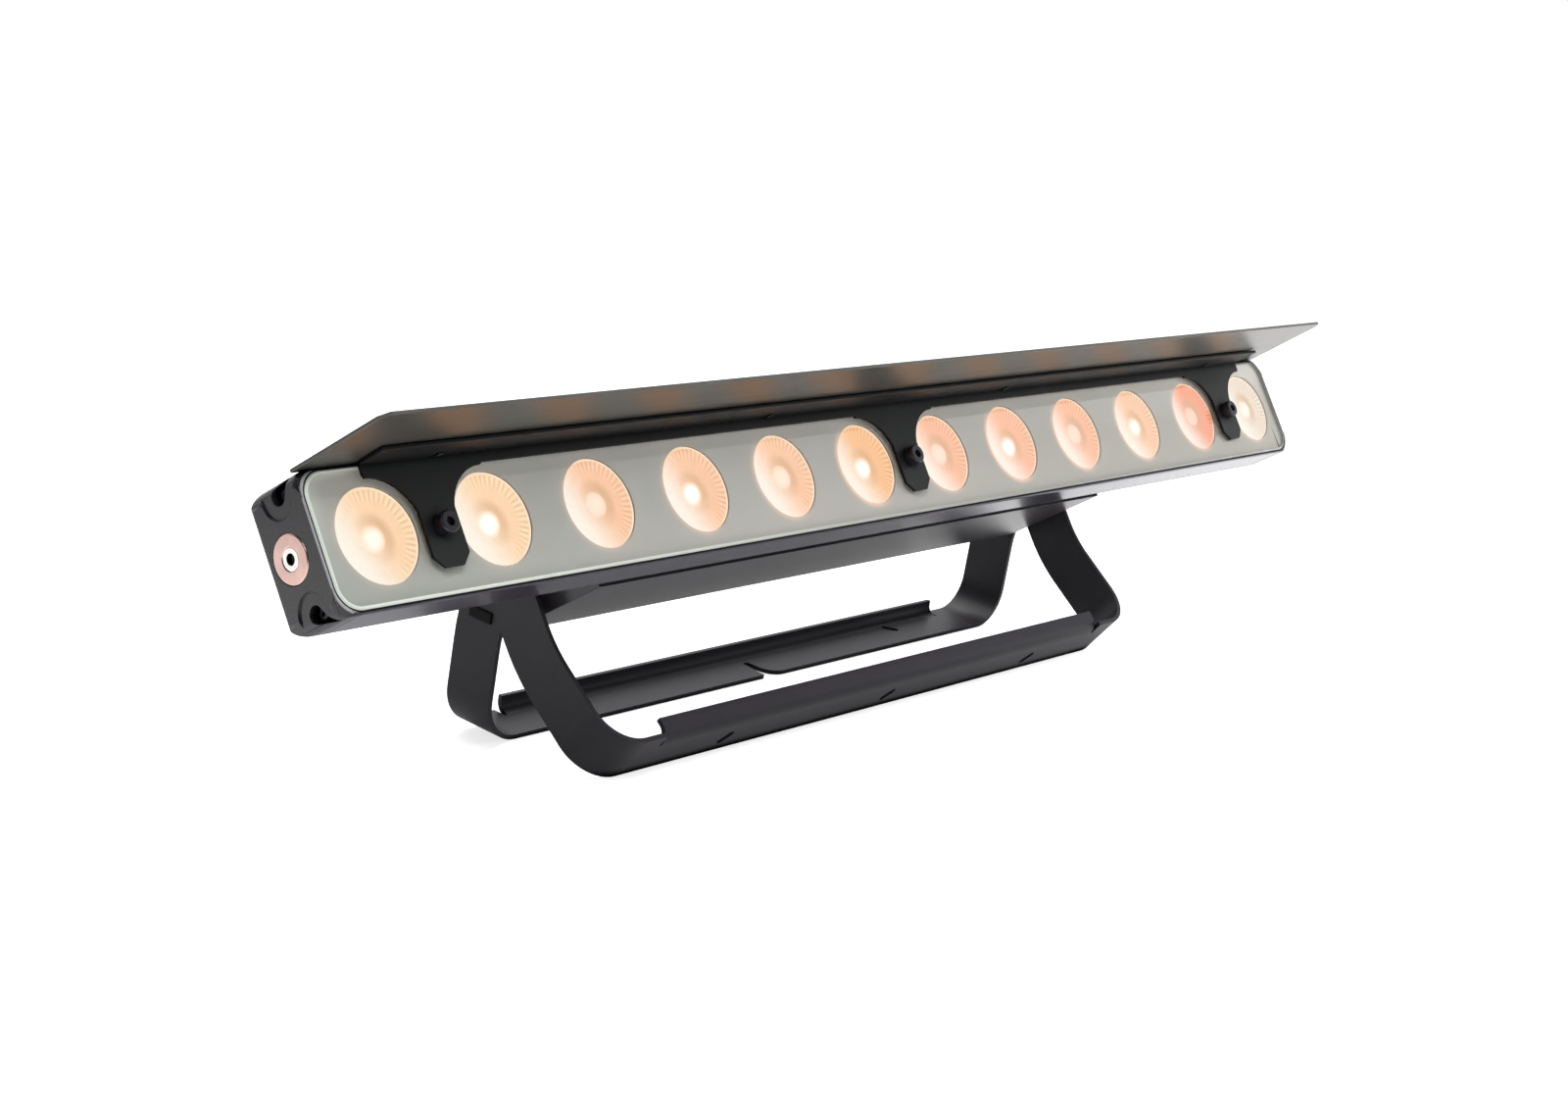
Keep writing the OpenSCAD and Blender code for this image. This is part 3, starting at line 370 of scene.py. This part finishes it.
def mask_look():
    """Warm grey printed film behind the glass, with painted glow beside each cell from its halo, painted light at
    the top, painted shade at the bottom and a tint drift along the bar that is part painted glow.
    """
    n = Nodes("printed_mask")
    where = n.place()
    x, _, z = n.split(where)
    column = n.math("ADD", n.math("DIVIDE", x, PITCH), CELLS / 2)
    cell = n.math("FLOOR", column)
    local = n.math("MULTIPLY", n.math("SUBTRACT", n.math("FRACT", column), 0.5), PITCH)
    away = n.hypot(local, z)
    strengths = n.ramp(
        n.math("DIVIDE", n.math("ADD", cell, 0.5), CELLS),
        [(i / CELLS, (h, h, h)) for i, h in enumerate(CELL_HALOS)], "CONSTANT")
    near = n.step(away, WINDOW_R + 5.5 * MM, WINDOW_R)
    near = n.math("MULTIPLY", near, near)
    left = n.step(n.math("ADD", local, n.math("MULTIPLY", z, 0.5)), 6 * MM, -24 * MM)
    halo = n.math("MULTIPLY", n.math("MULTIPLY", near, left), strengths)
    wide = n.step(away, WINDOW_R + 14 * MM, WINDOW_R)
    grain = n.noise(where, 1200.0, 3.0, 0.5)
    slow = n.noise(where, 9.0, 3.0, 0.5)
    # Along the bar the film's tint drifts, and the ramp's colours also carry painted glow from the cells.
    tint_drift_and_glow = n.math("MULTIPLY_ADD", slow, 0.1, n.math("ADD", x, 0.45))
    base = n.ramp(tint_drift_and_glow, [(0.05, MASK_TINTS_AND_GLOW[0]), (0.35, MASK_TINTS_AND_GLOW[1]), (0.6, MASK_TINTS_AND_GLOW[2]),
                          (0.9, MASK_TINTS_AND_GLOW[3])])
    # Painted light: the top of the film is painted lighter, against the shade under the flap.
    painted_top_light = n.math("MULTIPLY", n.step(z, -8 * MM, GLASS_HALF_H), 0.6)
    base = n.mix(painted_top_light, base, opaque(scaled(MASK_TINTS_AND_GLOW[1], 1.5)))
    # Painted shade: the bottom of the film is painted darker.
    low = n.math("MULTIPLY", n.step(z, 20 * MM, -GLASS_HALF_H), 0.3)
    base = n.mix(low, base, opaque(scaled(MASK_TINTS_AND_GLOW[3], 0.6)))
    # Painted glow: the film emits warm light beside each cell and faintly round each window.
    halo_glow = n.math("ADD", n.math("MULTIPLY", halo, 0.55), n.math("MULTIPLY", wide, 0.02))
    shader = n.add("ShaderNodeBsdfPrincipled", {
        "Base Color": base, "Roughness": 0.6, "Emission Color": opaque(srgb(255, 178, 128)),
        "Emission Strength": halo_glow, "Normal": n.bump(grain, 0.05, 0.02 * MM)})
    return n.finish(shader.outputs["BSDF"])


def glass_look():
    """Clear flat glass: it bends what the camera sees and lets all other light through."""
    n = Nodes("clear_glass")
    path = n.add("ShaderNodeLightPath")
    soft = n.math("ADD", path.outputs["Is Shadow Ray"], path.outputs["Is Diffuse Ray"], clamp=True)
    smear = n.noise(n.place(), 14.0, 5.0, 0.6)
    body = n.add("ShaderNodeBsdfPrincipled", {
        "Base Color": opaque(srgb(253, 254, 253)), "IOR": 1.5, "Transmission Weight": 1.0,
        "Roughness": n.math("MULTIPLY", smear, 0.02)})
    clear = n.add("ShaderNodeBsdfTransparent", {"Color": opaque(srgb(250, 252, 250))})
    both = n.add("ShaderNodeMixShader", {"Fac": soft})
    n.feed(both.inputs[1], body.outputs[0])
    n.feed(both.inputs[2], clear.outputs[0])
    return n.finish(both.outputs[0])


HOUSING = coated("anodised_housing", srgb(80, 76, 88), 0.24, 0.1, 2200.0, 0.1, 0.5, 0.5, True)
CAP = coated("cap_paint", srgb(32, 29, 35), 0.27, 0.2, 1300.0, 0.1, 0.0, 0.6, True)
BRACKET = coated("bracket_paint", srgb(34, 35, 36), 0.5, 0.3, 1500.0, 0.12, 0.0, 0.35)
FLAP = brushed("flap_metal", srgb(101, 100, 96), 0.34, (5, 700, 700), 0.1, 0.45)
BOX = coated("box_paint", srgb(64, 61, 67), 0.3, 0.4, 1100.0, 0.12)
YOKE = coated("yoke_paint", srgb(37, 34, 41), 0.42, 0.4, 1200.0, 0.1, 0.0, 0.32)
BLACK_SCREW = brushed("black_oxide", srgb(70, 70, 76), 0.34, (300, 300, 300), 0.1, 0.8)
ZINC = brushed("zinc", srgb(176, 178, 182), 0.3, (300, 300, 300), 0.1)
STEEL = turned("turned_steel", srgb(190, 190, 192), (PIVOT_DEPTH, 0.0))
NICKEL = turned("magnet_nickel", srgb(212, 178, 170), MAGNET_AXIS)
MAGNET_SCREW = turned("magnet_screw", srgb(244, 238, 232), MAGNET_AXIS, 0.2, MAGNET_SOCKET_R)
RUBBER = plastic("black_rubber", srgb(22, 22, 23), 0.75, 0.4, 1600.0, 0.2)
BLACK_PLASTIC = plastic("black_plastic", srgb(36, 36, 38), 0.42, 0.5, 1200.0)
GREY_KEY = plastic("grey_key", srgb(96, 96, 100), 0.5)
WHITE_PLASTIC = plastic("white_plastic", srgb(228, 226, 220), 0.5)
BOARD = circuit("green_board", srgb(22, 84, 48), srgb(60, 130, 84))
GOLD = brushed("contact_gold", srgb(214, 180, 104), 0.25, (300, 300, 300), 0.1)
WHITE_BOARD = circuit("white_board", srgb(232, 232, 228), srgb(210, 206, 190))

LOOKS = {
    "housing_extrusion": HOUSING, "left_end_cap": CAP, "right_end_cap": CAP,
    "left_magnet_disc": NICKEL, "right_magnet_disc": NICKEL,
    "magnet_screws": MAGNET_SCREW,
    "end_cap_screws": BLACK_SCREW, "front_glass": glass_look(), "glass_gasket": RUBBER,
    "window_mask": mask_look(), "lenses": lens_look(), "lens_holders": WHITE_PLASTIC,
    "led_board": WHITE_BOARD, "led_emitters": plastic("phosphor", srgb(250, 222, 120), 0.3),
    "board_screws": ZINC, "shield_posts": ZINC, "post_seals": RUBBER,
    "shield_bracket": BRACKET, "shield_flap": FLAP,
    "shield_rivets": coated("rivet_metal", srgb(58, 58, 60), 0.4, 0.2),
    "shield_screws": BLACK_SCREW, "chassis_tray": BOX, "tray_screws": ZINC,
    "driver_box_shell": BOX, "left_box_end": BOX, "right_box_end": BOX,
    "box_screws": BLACK_SCREW, "power_supply": brushed("cage_metal", srgb(200, 202, 202), 0.35),
    "driver_board": BOARD, "control_board": BOARD,
    "display_window": plastic("tinted_window", srgb(12, 18, 26), 0.12, 0.03),
    "menu_button": GREY_KEY, "down_button": GREY_KEY, "up_button": GREY_KEY,
    "enter_button": GREY_KEY,
    "power_inlet": plastic("blue_socket", srgb(28, 70, 150), 0.4),
    "power_outlet": plastic("grey_socket", srgb(190, 190, 188), 0.4),
    "data_inlet": brushed("socket_nickel", srgb(150, 151, 155), 0.3, (300, 300, 300)),
    "data_outlet": brushed("outlet_nickel", srgb(150, 151, 155), 0.3, (300, 300, 300)),
    "connector_screws": ZINC, "fuse_holder": BLACK_PLASTIC, "vent_plug": BLACK_PLASTIC,
    "wiring_harness": plastic("red_sleeve", srgb(176, 44, 34), 0.5), "safety_eye": ZINC,
    "left_pivot_stud": STEEL, "right_pivot_stud": STEEL, "inner_friction_washers": RUBBER,
    "outer_friction_washers": RUBBER, "knob_washers": STEEL, "left_lock_knob": BLACK_PLASTIC,
    "right_lock_knob": BLACK_PLASTIC, "front_yoke": YOKE, "rear_yoke": YOKE,
    "arm_buffers": RUBBER,
}

for node_name, node in frame["nodes"].items():
    node.data.materials.clear()
    node.data.materials.append(LOOKS[node_name])


# ---- pieces that stand for CAD nodes ----

BODY_OF = {name: body for body, names in frame["record"]["behaviour"]["bodies"].items()
           for name in names}


def new_piece(name, work, *materials):
    """Links a finished bmesh as an object."""
    mesh = bpy.data.meshes.new(name)
    work.to_mesh(mesh)
    work.free()
    for material in materials:
        mesh.materials.append(material)
    piece = bpy.data.objects.new(name, mesh)
    scene.collection.objects.link(piece)
    return piece


def bake(piece):
    """Applies the piece's modifiers, so that its mesh is what is seen."""
    bpy.context.view_layer.update()
    seen = piece.evaluated_get(bpy.context.evaluated_depsgraph_get())
    mesh = bpy.data.meshes.new_from_object(seen)
    piece.modifiers.clear()
    piece.data = mesh


def soften(name, width):
    """A copy of a CAD node with rounded edges, which takes the node's place."""
    source = frame["nodes"][name]
    work = bmesh.new()
    work.from_mesh(source.data)
    bmesh.ops.remove_doubles(work, verts=work.verts, dist=0.002 * MM)
    bmesh.ops.dissolve_limit(work, angle_limit=math.radians(0.5), verts=work.verts,
                             edges=work.edges)
    for face in work.faces:
        face.smooth = True
    piece = new_piece(name + "_shape", work, LOOKS[name])
    piece.matrix_world = source.matrix_world.copy()
    edges = piece.modifiers.new("edges", "BEVEL")
    edges.width = width
    edges.segments = 2
    edges.limit_method = "ANGLE"
    edges.angle_limit = math.radians(34)
    edges.use_clamp_overlap = False
    edges.miter_outer = "MITER_ARC"
    flat = piece.modifiers.new("flat", "WEIGHTED_NORMAL")
    flat.keep_sharp = True
    bake(piece)
    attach(piece, BODY_OF[name])
    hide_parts(name)


SOFT_EDGES = {
    "housing_extrusion": 0.22, "left_end_cap": 0.45, "right_end_cap": 0.45,
    "left_magnet_disc": 0.2, "right_magnet_disc": 0.2, "shield_bracket": 0.3,
    "shield_flap": 0.4, "shield_screws": 0.25, "driver_box_shell": 0.3, "left_box_end": 0.4,
    "right_box_end": 0.4, "left_lock_knob": 0.8, "right_lock_knob": 0.8,
    "safety_eye": 0.5,
}
for node_name, edge in SOFT_EDGES.items():
    soften(node_name, edge * MM)


def spin_profile(work, profile, steps):
    """Rings of vertices from (radius, depth) pairs, spun round the bar's y axis."""
    rings = []
    for radius, depth in profile:
        rings.append([work.verts.new((radius * math.cos(a), depth, radius * math.sin(a)))
                      for a in (2 * math.pi * k / steps for k in range(steps))])
    for inner, outer in zip(rings, rings[1:]):
        for k in range(steps):
            j = (k + 1) % steps
            work.faces.new((inner[k], inner[j], outer[j], outer[k]))
    return rings


def lens_mesh():
    """One moulded lens in the bar's axes with its centre on the origin of x and z."""
    steps = 4 * LENS_TEETH
    work = bmesh.new()
    front = LENS_FRONT
    profile = []
    for radius, depth in ((0.4, 0.0), (2.5, 0.1), (4.5, 0.35), (6.2, 0.8), (7.2, 1.3), (9, 1.5),
                          (12, 1.35), (15, 1.1), (17.5, 0.85), (19, 0.7), (21, 0.55), (23, 0.4),
                          (24.6, 0.25), (25.4, 0.1), (26.4, 0.0), (26.9, 0.12), (27, 0.4),
                          (27, 2.0), (25.5, 2.0), (11, 20.9), (6, 20.9), (4.5, 14.9),
                          (0.4, 14.2)):
        profile.append((radius * MM, front + depth * MM))
    rings = spin_profile(work, profile, steps)
    for ring in rings:
        radius = math.hypot(ring[0].co.x, ring[0].co.z) / MM
        if 18 < radius < 25 and ring[0].co.y < front + MM:
            lift = 0.22 * MM * math.sin(math.pi * (radius - 18) / 7)
            for k, vert in enumerate(ring):
                vert.co.y -= lift * math.sin(2 * math.pi * k * LENS_TEETH / steps)
    work.faces.new(rings[0])
    work.faces.new(rings[-1])
    bmesh.ops.recalc_face_normals(work, faces=work.faces)
    for face in work.faces:
        face.smooth = True
    return work


def build_lenses():
    for i, (tint, core) in enumerate(zip(CELL_TINTS, CELL_CORES)):
        piece = new_piece(f"lens_{i + 1:02d}", lens_mesh(), LOOKS["lenses"])
        piece.matrix_world = BAR @ Matrix.Translation((cell_x(i), 0, 0))
        piece.color = (*tint, core)
        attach(piece, "fixture")
        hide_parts("lenses")


def outline(half_w, half_h, corner, steps=14):
    """A rectangle with round corners as (x, z) points, anticlockwise."""
    points = []
    for sx, sz, start in ((1, -1, -90), (1, 1, 0), (-1, 1, 90), (-1, -1, 180)):
        for k in range(steps + 1):
            a = math.radians(start + 90 * k / steps)
            points.append((sx * (half_w - corner) + corner * math.cos(a),
                           sz * (half_h - corner) + corner * math.sin(a)))
    return points


def add_loop(work, points, depth):
    verts = [work.verts.new((x, depth, z)) for x, z in points]
    edges = [work.edges.new((a, b)) for a, b in zip(verts, verts[1:] + verts[:1])]
    return verts, edges


def join_loops(work, first, second, index):
    for k in range(len(first)):
        j = (k + 1) % len(first)
        face = work.faces.new((first[k], first[j], second[j], second[k]))
        face.material_index = index


def edge_look():
    """The clear margin past the mask, which pipes light out, most of all at the near end."""
    n = Nodes("polished_edge")
    where = n.place()
    near = n.step(n.split(where)[0], 0.25, -0.5)
    haze = n.noise(where, 60.0, 4.0, 0.6)
    base = n.mix(near, opaque(srgb(150, 152, 147)), opaque(srgb(214, 220, 210)))
    shader = n.add("ShaderNodeBsdfPrincipled", {
        "Base Color": base, "Roughness": n.math("MULTIPLY_ADD", haze, 0.2, 0.15),
        "Emission Color": opaque(srgb(222, 228, 218)),
        "Emission Strength": n.math("MULTIPLY", near, n.math("MULTIPLY_ADD", haze, 0.2, 0.12))})
    return n.finish(shader.outputs["BSDF"])


def build_glass():
    """The pane with its three post holes and polished chamfers that catch the light all round."""
    chamfer = 0.9 * MM
    clear = 1.7 * MM
    work = bmesh.new()
    walls = []
    for inset, depth in ((clear, 0.0), (chamfer, 0.0), (0.0, chamfer), (0.0, GLASS_T)):
        points = outline(GLASS_HALF_W - inset, GLASS_HALF_H - inset, GLASS_CORNER - inset)
        walls.append(add_loop(work, points, depth))
    for near, far in zip(walls, walls[1:]):
        join_loops(work, near[0], far[0], 1)
    flat_edges = [list(walls[0][1]), list(walls[-1][1])]
    for x in TAB_X:
        ring = [(x + POST_HOLE_R * math.cos(a), SCREW_Z + POST_HOLE_R * math.sin(a))
                for a in (2 * math.pi * k / 40 for k in range(40))]
        near, near_edges = add_loop(work, ring, 0.0)
        far, far_edges = add_loop(work, ring, GLASS_T)
        join_loops(work, near, far, 0)
        flat_edges[0] += near_edges
        flat_edges[1] += far_edges
    for edges in flat_edges:
        bmesh.ops.triangle_fill(work, use_beauty=True, edges=edges)
    bmesh.ops.recalc_face_normals(work, faces=work.faces)
    piece = new_piece("glass_pane", work, LOOKS["front_glass"], edge_look())
    piece.matrix_world = BAR
    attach(piece, "fixture")
    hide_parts("front_glass")


build_lenses()
build_glass()


# ---- small pieces on the back panel ----


def add_rod(work, x, z, radius, y0, y1, tip):
    """A round pin along the bar's y axis, with a tapered far end."""
    steps = 20
    rings = []
    for y, r in ((y0, radius), (y1 - tip, radius), (y1, radius - 0.7 * tip)):
        rings.append([work.verts.new((x + r * math.cos(a), y, z + r * math.sin(a)))
                      for a in (2 * math.pi * k / steps for k in range(steps))])
    for low, high in zip(rings, rings[1:]):
        for k in range(steps):
            j = (k + 1) % steps
            work.faces.new((low[k], low[j], high[j], high[k]))
    work.faces.new(rings[0])
    work.faces.new(rings[-1])


def build_contacts():
    """Contact pins in the four sockets."""
    inner = SOCKET_FACE - SOCKET_DEPTH
    sockets = (("power_inlet", 3, 4.6, 1.6), ("power_outlet", 3, 4.6, 1.6),
               ("data_inlet", 5, 5.2, 0.8), ("data_outlet", 5, 5.2, 0.8))
    for name, count, ring_r, pin_r in sockets:
        low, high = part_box(name)
        x = (low[0] + high[0]) / 2
        work = bmesh.new()
        for k in range(count):
            a = 2 * math.pi * (k + 0.25) / count
            add_rod(work, ring_r * MM * math.cos(a), ring_r * MM * math.sin(a), pin_r * MM,
                    inner, SOCKET_FACE - PIN_SETBACK, 0.5 * MM)
        bmesh.ops.recalc_face_normals(work, faces=work.faces)
        piece = new_piece(name + "_contacts", work, GOLD)
        piece.matrix_world = BAR @ Matrix.Translation((x, 0, 0))
        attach(piece, "fixture")


def build_display_frame():
    """A raised frame round the display window."""
    low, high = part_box("display_window")
    x = (low[0] + high[0]) / 2
    half_w, half_h, corner, centre_z = 27, 16, 3, 6 * MM
    work = bmesh.new()
    loops = []
    for grow, depth in ((1.4, 0.0), (1.4, 1.0), (0.9, 1.5), (0.35, 1.5), (0.1, 1.2), (0.1, 0.0)):
        points = outline((half_w + grow) * MM, (half_h + grow) * MM, (corner + grow) * MM)
        loops.append([work.verts.new((px, BOX_PANEL + depth * MM, centre_z + pz))
                      for px, pz in points])
    for first, second in zip(loops, loops[1:] + loops[:1]):
        for k in range(len(first)):
            j = (k + 1) % len(first)
            work.faces.new((first[k], first[j], second[j], second[k]))
    bmesh.ops.recalc_face_normals(work, faces=work.faces)
    piece = new_piece("display_frame", work, BLACK_PLASTIC)
    piece.matrix_world = BAR @ Matrix.Translation((x, 0, 0))
    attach(piece, "fixture")


build_contacts()
build_display_frame()


# ---- floor, light and camera ----

VIEW_RIGHT = Vector((0.6268, -0.7756, 0.0746)).normalized()
VIEW_UP = Vector((0.1143, 0.1862, 0.9759)).normalized()
VIEW_BACK = VIEW_RIGHT.cross(VIEW_UP).normalized()
CAMERA_FROM_FACE = Vector((-1.3311, -0.9460, 0.2742))
FLOOR_SEEN = 0.7
FLOOR_GLOW = 0.04
FLOOR_MIRRORED = 0.5
CAMERA_SIDE = 0.1


def build_stage():
    mesh = bpy.data.meshes.new("floor")
    reach = 40.0
    mesh.from_pydata([(-reach, -reach, 0), (reach, -reach, 0), (reach, reach, 0),
                      (-reach, reach, 0)], [], [(0, 1, 2, 3)])
    floor = bpy.data.objects.new("floor", mesh)
    scene.collection.objects.link(floor)
    n = Nodes("floor_white")
    where = n.add("ShaderNodeTexCoord").outputs["Object"]
    faint = n.noise(where, 3.0, 4.0, 0.6)
    base = n.ramp(faint, [(0.3, (0.84, 0.84, 0.84)), (0.7, (0.86, 0.86, 0.86))])
    path = n.add("ShaderNodeLightPath")
    lift = n.math("MULTIPLY_ADD", path.outputs["Is Camera Ray"], FLOOR_SEEN, FLOOR_GLOW)
    x, y, _ = n.split(where)
    under = n.math("MULTIPLY_ADD", n.step(x, 0.0, 0.6), 0.65, 0.35)
    under = n.math("MULTIPLY", under, n.step(y, 0.5, 0.2))
    lit = n.math("MAXIMUM", under, n.step(x, -0.3, -0.6))
    lit = n.math("MULTIPLY", n.step(x, -1.6, -0.8), lit)
    unlit = n.math("MULTIPLY", n.math("SUBTRACT", 1.0, lit), path.outputs["Is Glossy Ray"])
    base = n.mix(n.math("MULTIPLY", unlit, 0.8), base, opaque((0.05, 0.05, 0.055)))
    lit = n.math("MULTIPLY", lit, path.outputs["Is Glossy Ray"])
    lift = n.math("MULTIPLY_ADD", lit, FLOOR_MIRRORED, lift)
    shader = n.add("ShaderNodeBsdfPrincipled", {
        "Base Color": base, "Roughness": 0.8, "Specular IOR Level": 0.1,
        "Emission Color": opaque((1, 1, 1)),
        "Emission Strength": lift})
    mesh.materials.append(n.finish(shader.outputs["BSDF"]))


def build_world():
    """White behind the object, dimmer round the camera, as in a white studio cove."""
    world = bpy.data.worlds.new("studio")
    world.use_nodes = True
    tree = world.node_tree
    coords = tree.nodes.new("ShaderNodeTexCoord")
    facing = tree.nodes.new("ShaderNodeVectorMath")
    facing.operation = "DOT_PRODUCT"
    facing.inputs[1].default_value = VIEW_BACK
    tree.links.new(coords.outputs["Generated"], facing.inputs[0])
    spread = tree.nodes.new("ShaderNodeMapRange")
    spread.interpolation_type = "SMOOTHSTEP"
    for key, value in (("From Min", -0.5), ("From Max", 0.3), ("To Min", 1.0),
                       ("To Max", CAMERA_SIDE)):
        spread.inputs[key].default_value = value
    tree.links.new(facing.outputs["Value"], spread.inputs["Value"])
    path = tree.nodes.new("ShaderNodeLightPath")
    either = tree.nodes.new("ShaderNodeMath")
    either.operation = "MAXIMUM"
    tree.links.new(spread.outputs["Result"], either.inputs[0])
    tree.links.new(path.outputs["Is Camera Ray"], either.inputs[1])
    background = tree.nodes["Background"]
    background.inputs["Color"].default_value = (1, 1, 1, 1)
    tree.links.new(either.outputs[0], background.inputs["Strength"])
    scene.world = world


def add_softbox(name, place, target, size, power, mirrored=True):
    light_data = bpy.data.lights.new(name, "AREA")
    light_data.shape = "RECTANGLE"
    light_data.size, light_data.size_y = size
    light_data.energy = power
    light = bpy.data.objects.new(name, light_data)
    scene.collection.objects.link(light)
    aim = Vector(target) - Vector(place)
    turn = aim.to_track_quat("-Z", "Y").to_matrix().to_4x4()
    light.matrix_world = Matrix.Translation(place) @ turn
    light.visible_camera = False
    light.visible_glossy = mirrored
    light.visible_transmission = mirrored


def build_camera():
    camera_data = bpy.data.cameras.new("camera")
    camera_data.lens = 58.22
    camera_data.sensor_width = 36.0
    camera = bpy.data.objects.new("camera", camera_data)
    scene.collection.objects.link(camera)
    up = VIEW_BACK.cross(VIEW_RIGHT).normalized()
    place = FACE + CAMERA_FROM_FACE
    camera.matrix_world = Matrix((
        (VIEW_RIGHT.x, up.x, VIEW_BACK.x, place.x),
        (VIEW_RIGHT.y, up.y, VIEW_BACK.y, place.y),
        (VIEW_RIGHT.z, up.z, VIEW_BACK.z, place.z),
        (0, 0, 0, 1),
    ))
    scene.camera = camera


build_stage()
build_world()
build_camera()
add_softbox("key", (-0.5, -1.0, 2.1), (-0.1, 0, 0.1), (1.2, 1.2), 30.0, False)
add_softbox("rim", (-0.95, -0.25, 0.72), (-0.49, -0.03, 0.16), (0.1, 0.5), 0.5)
add_softbox("overhead", (0.3, 0.9, 1.6), (0, 0.05, 0.05), (1.6, 0.5), 16.0)
add_softbox("right", (1.8, -1.2, 0.7), (0.3, 0, 0.1), (0.8, 1.2), 10.0, False)
add_softbox("right_end", (0.95, -0.32, 0.3), (0.49, 0, 0.15), (0.25, 0.35), 2.0, False)
scene.view_settings.view_transform = "Standard"
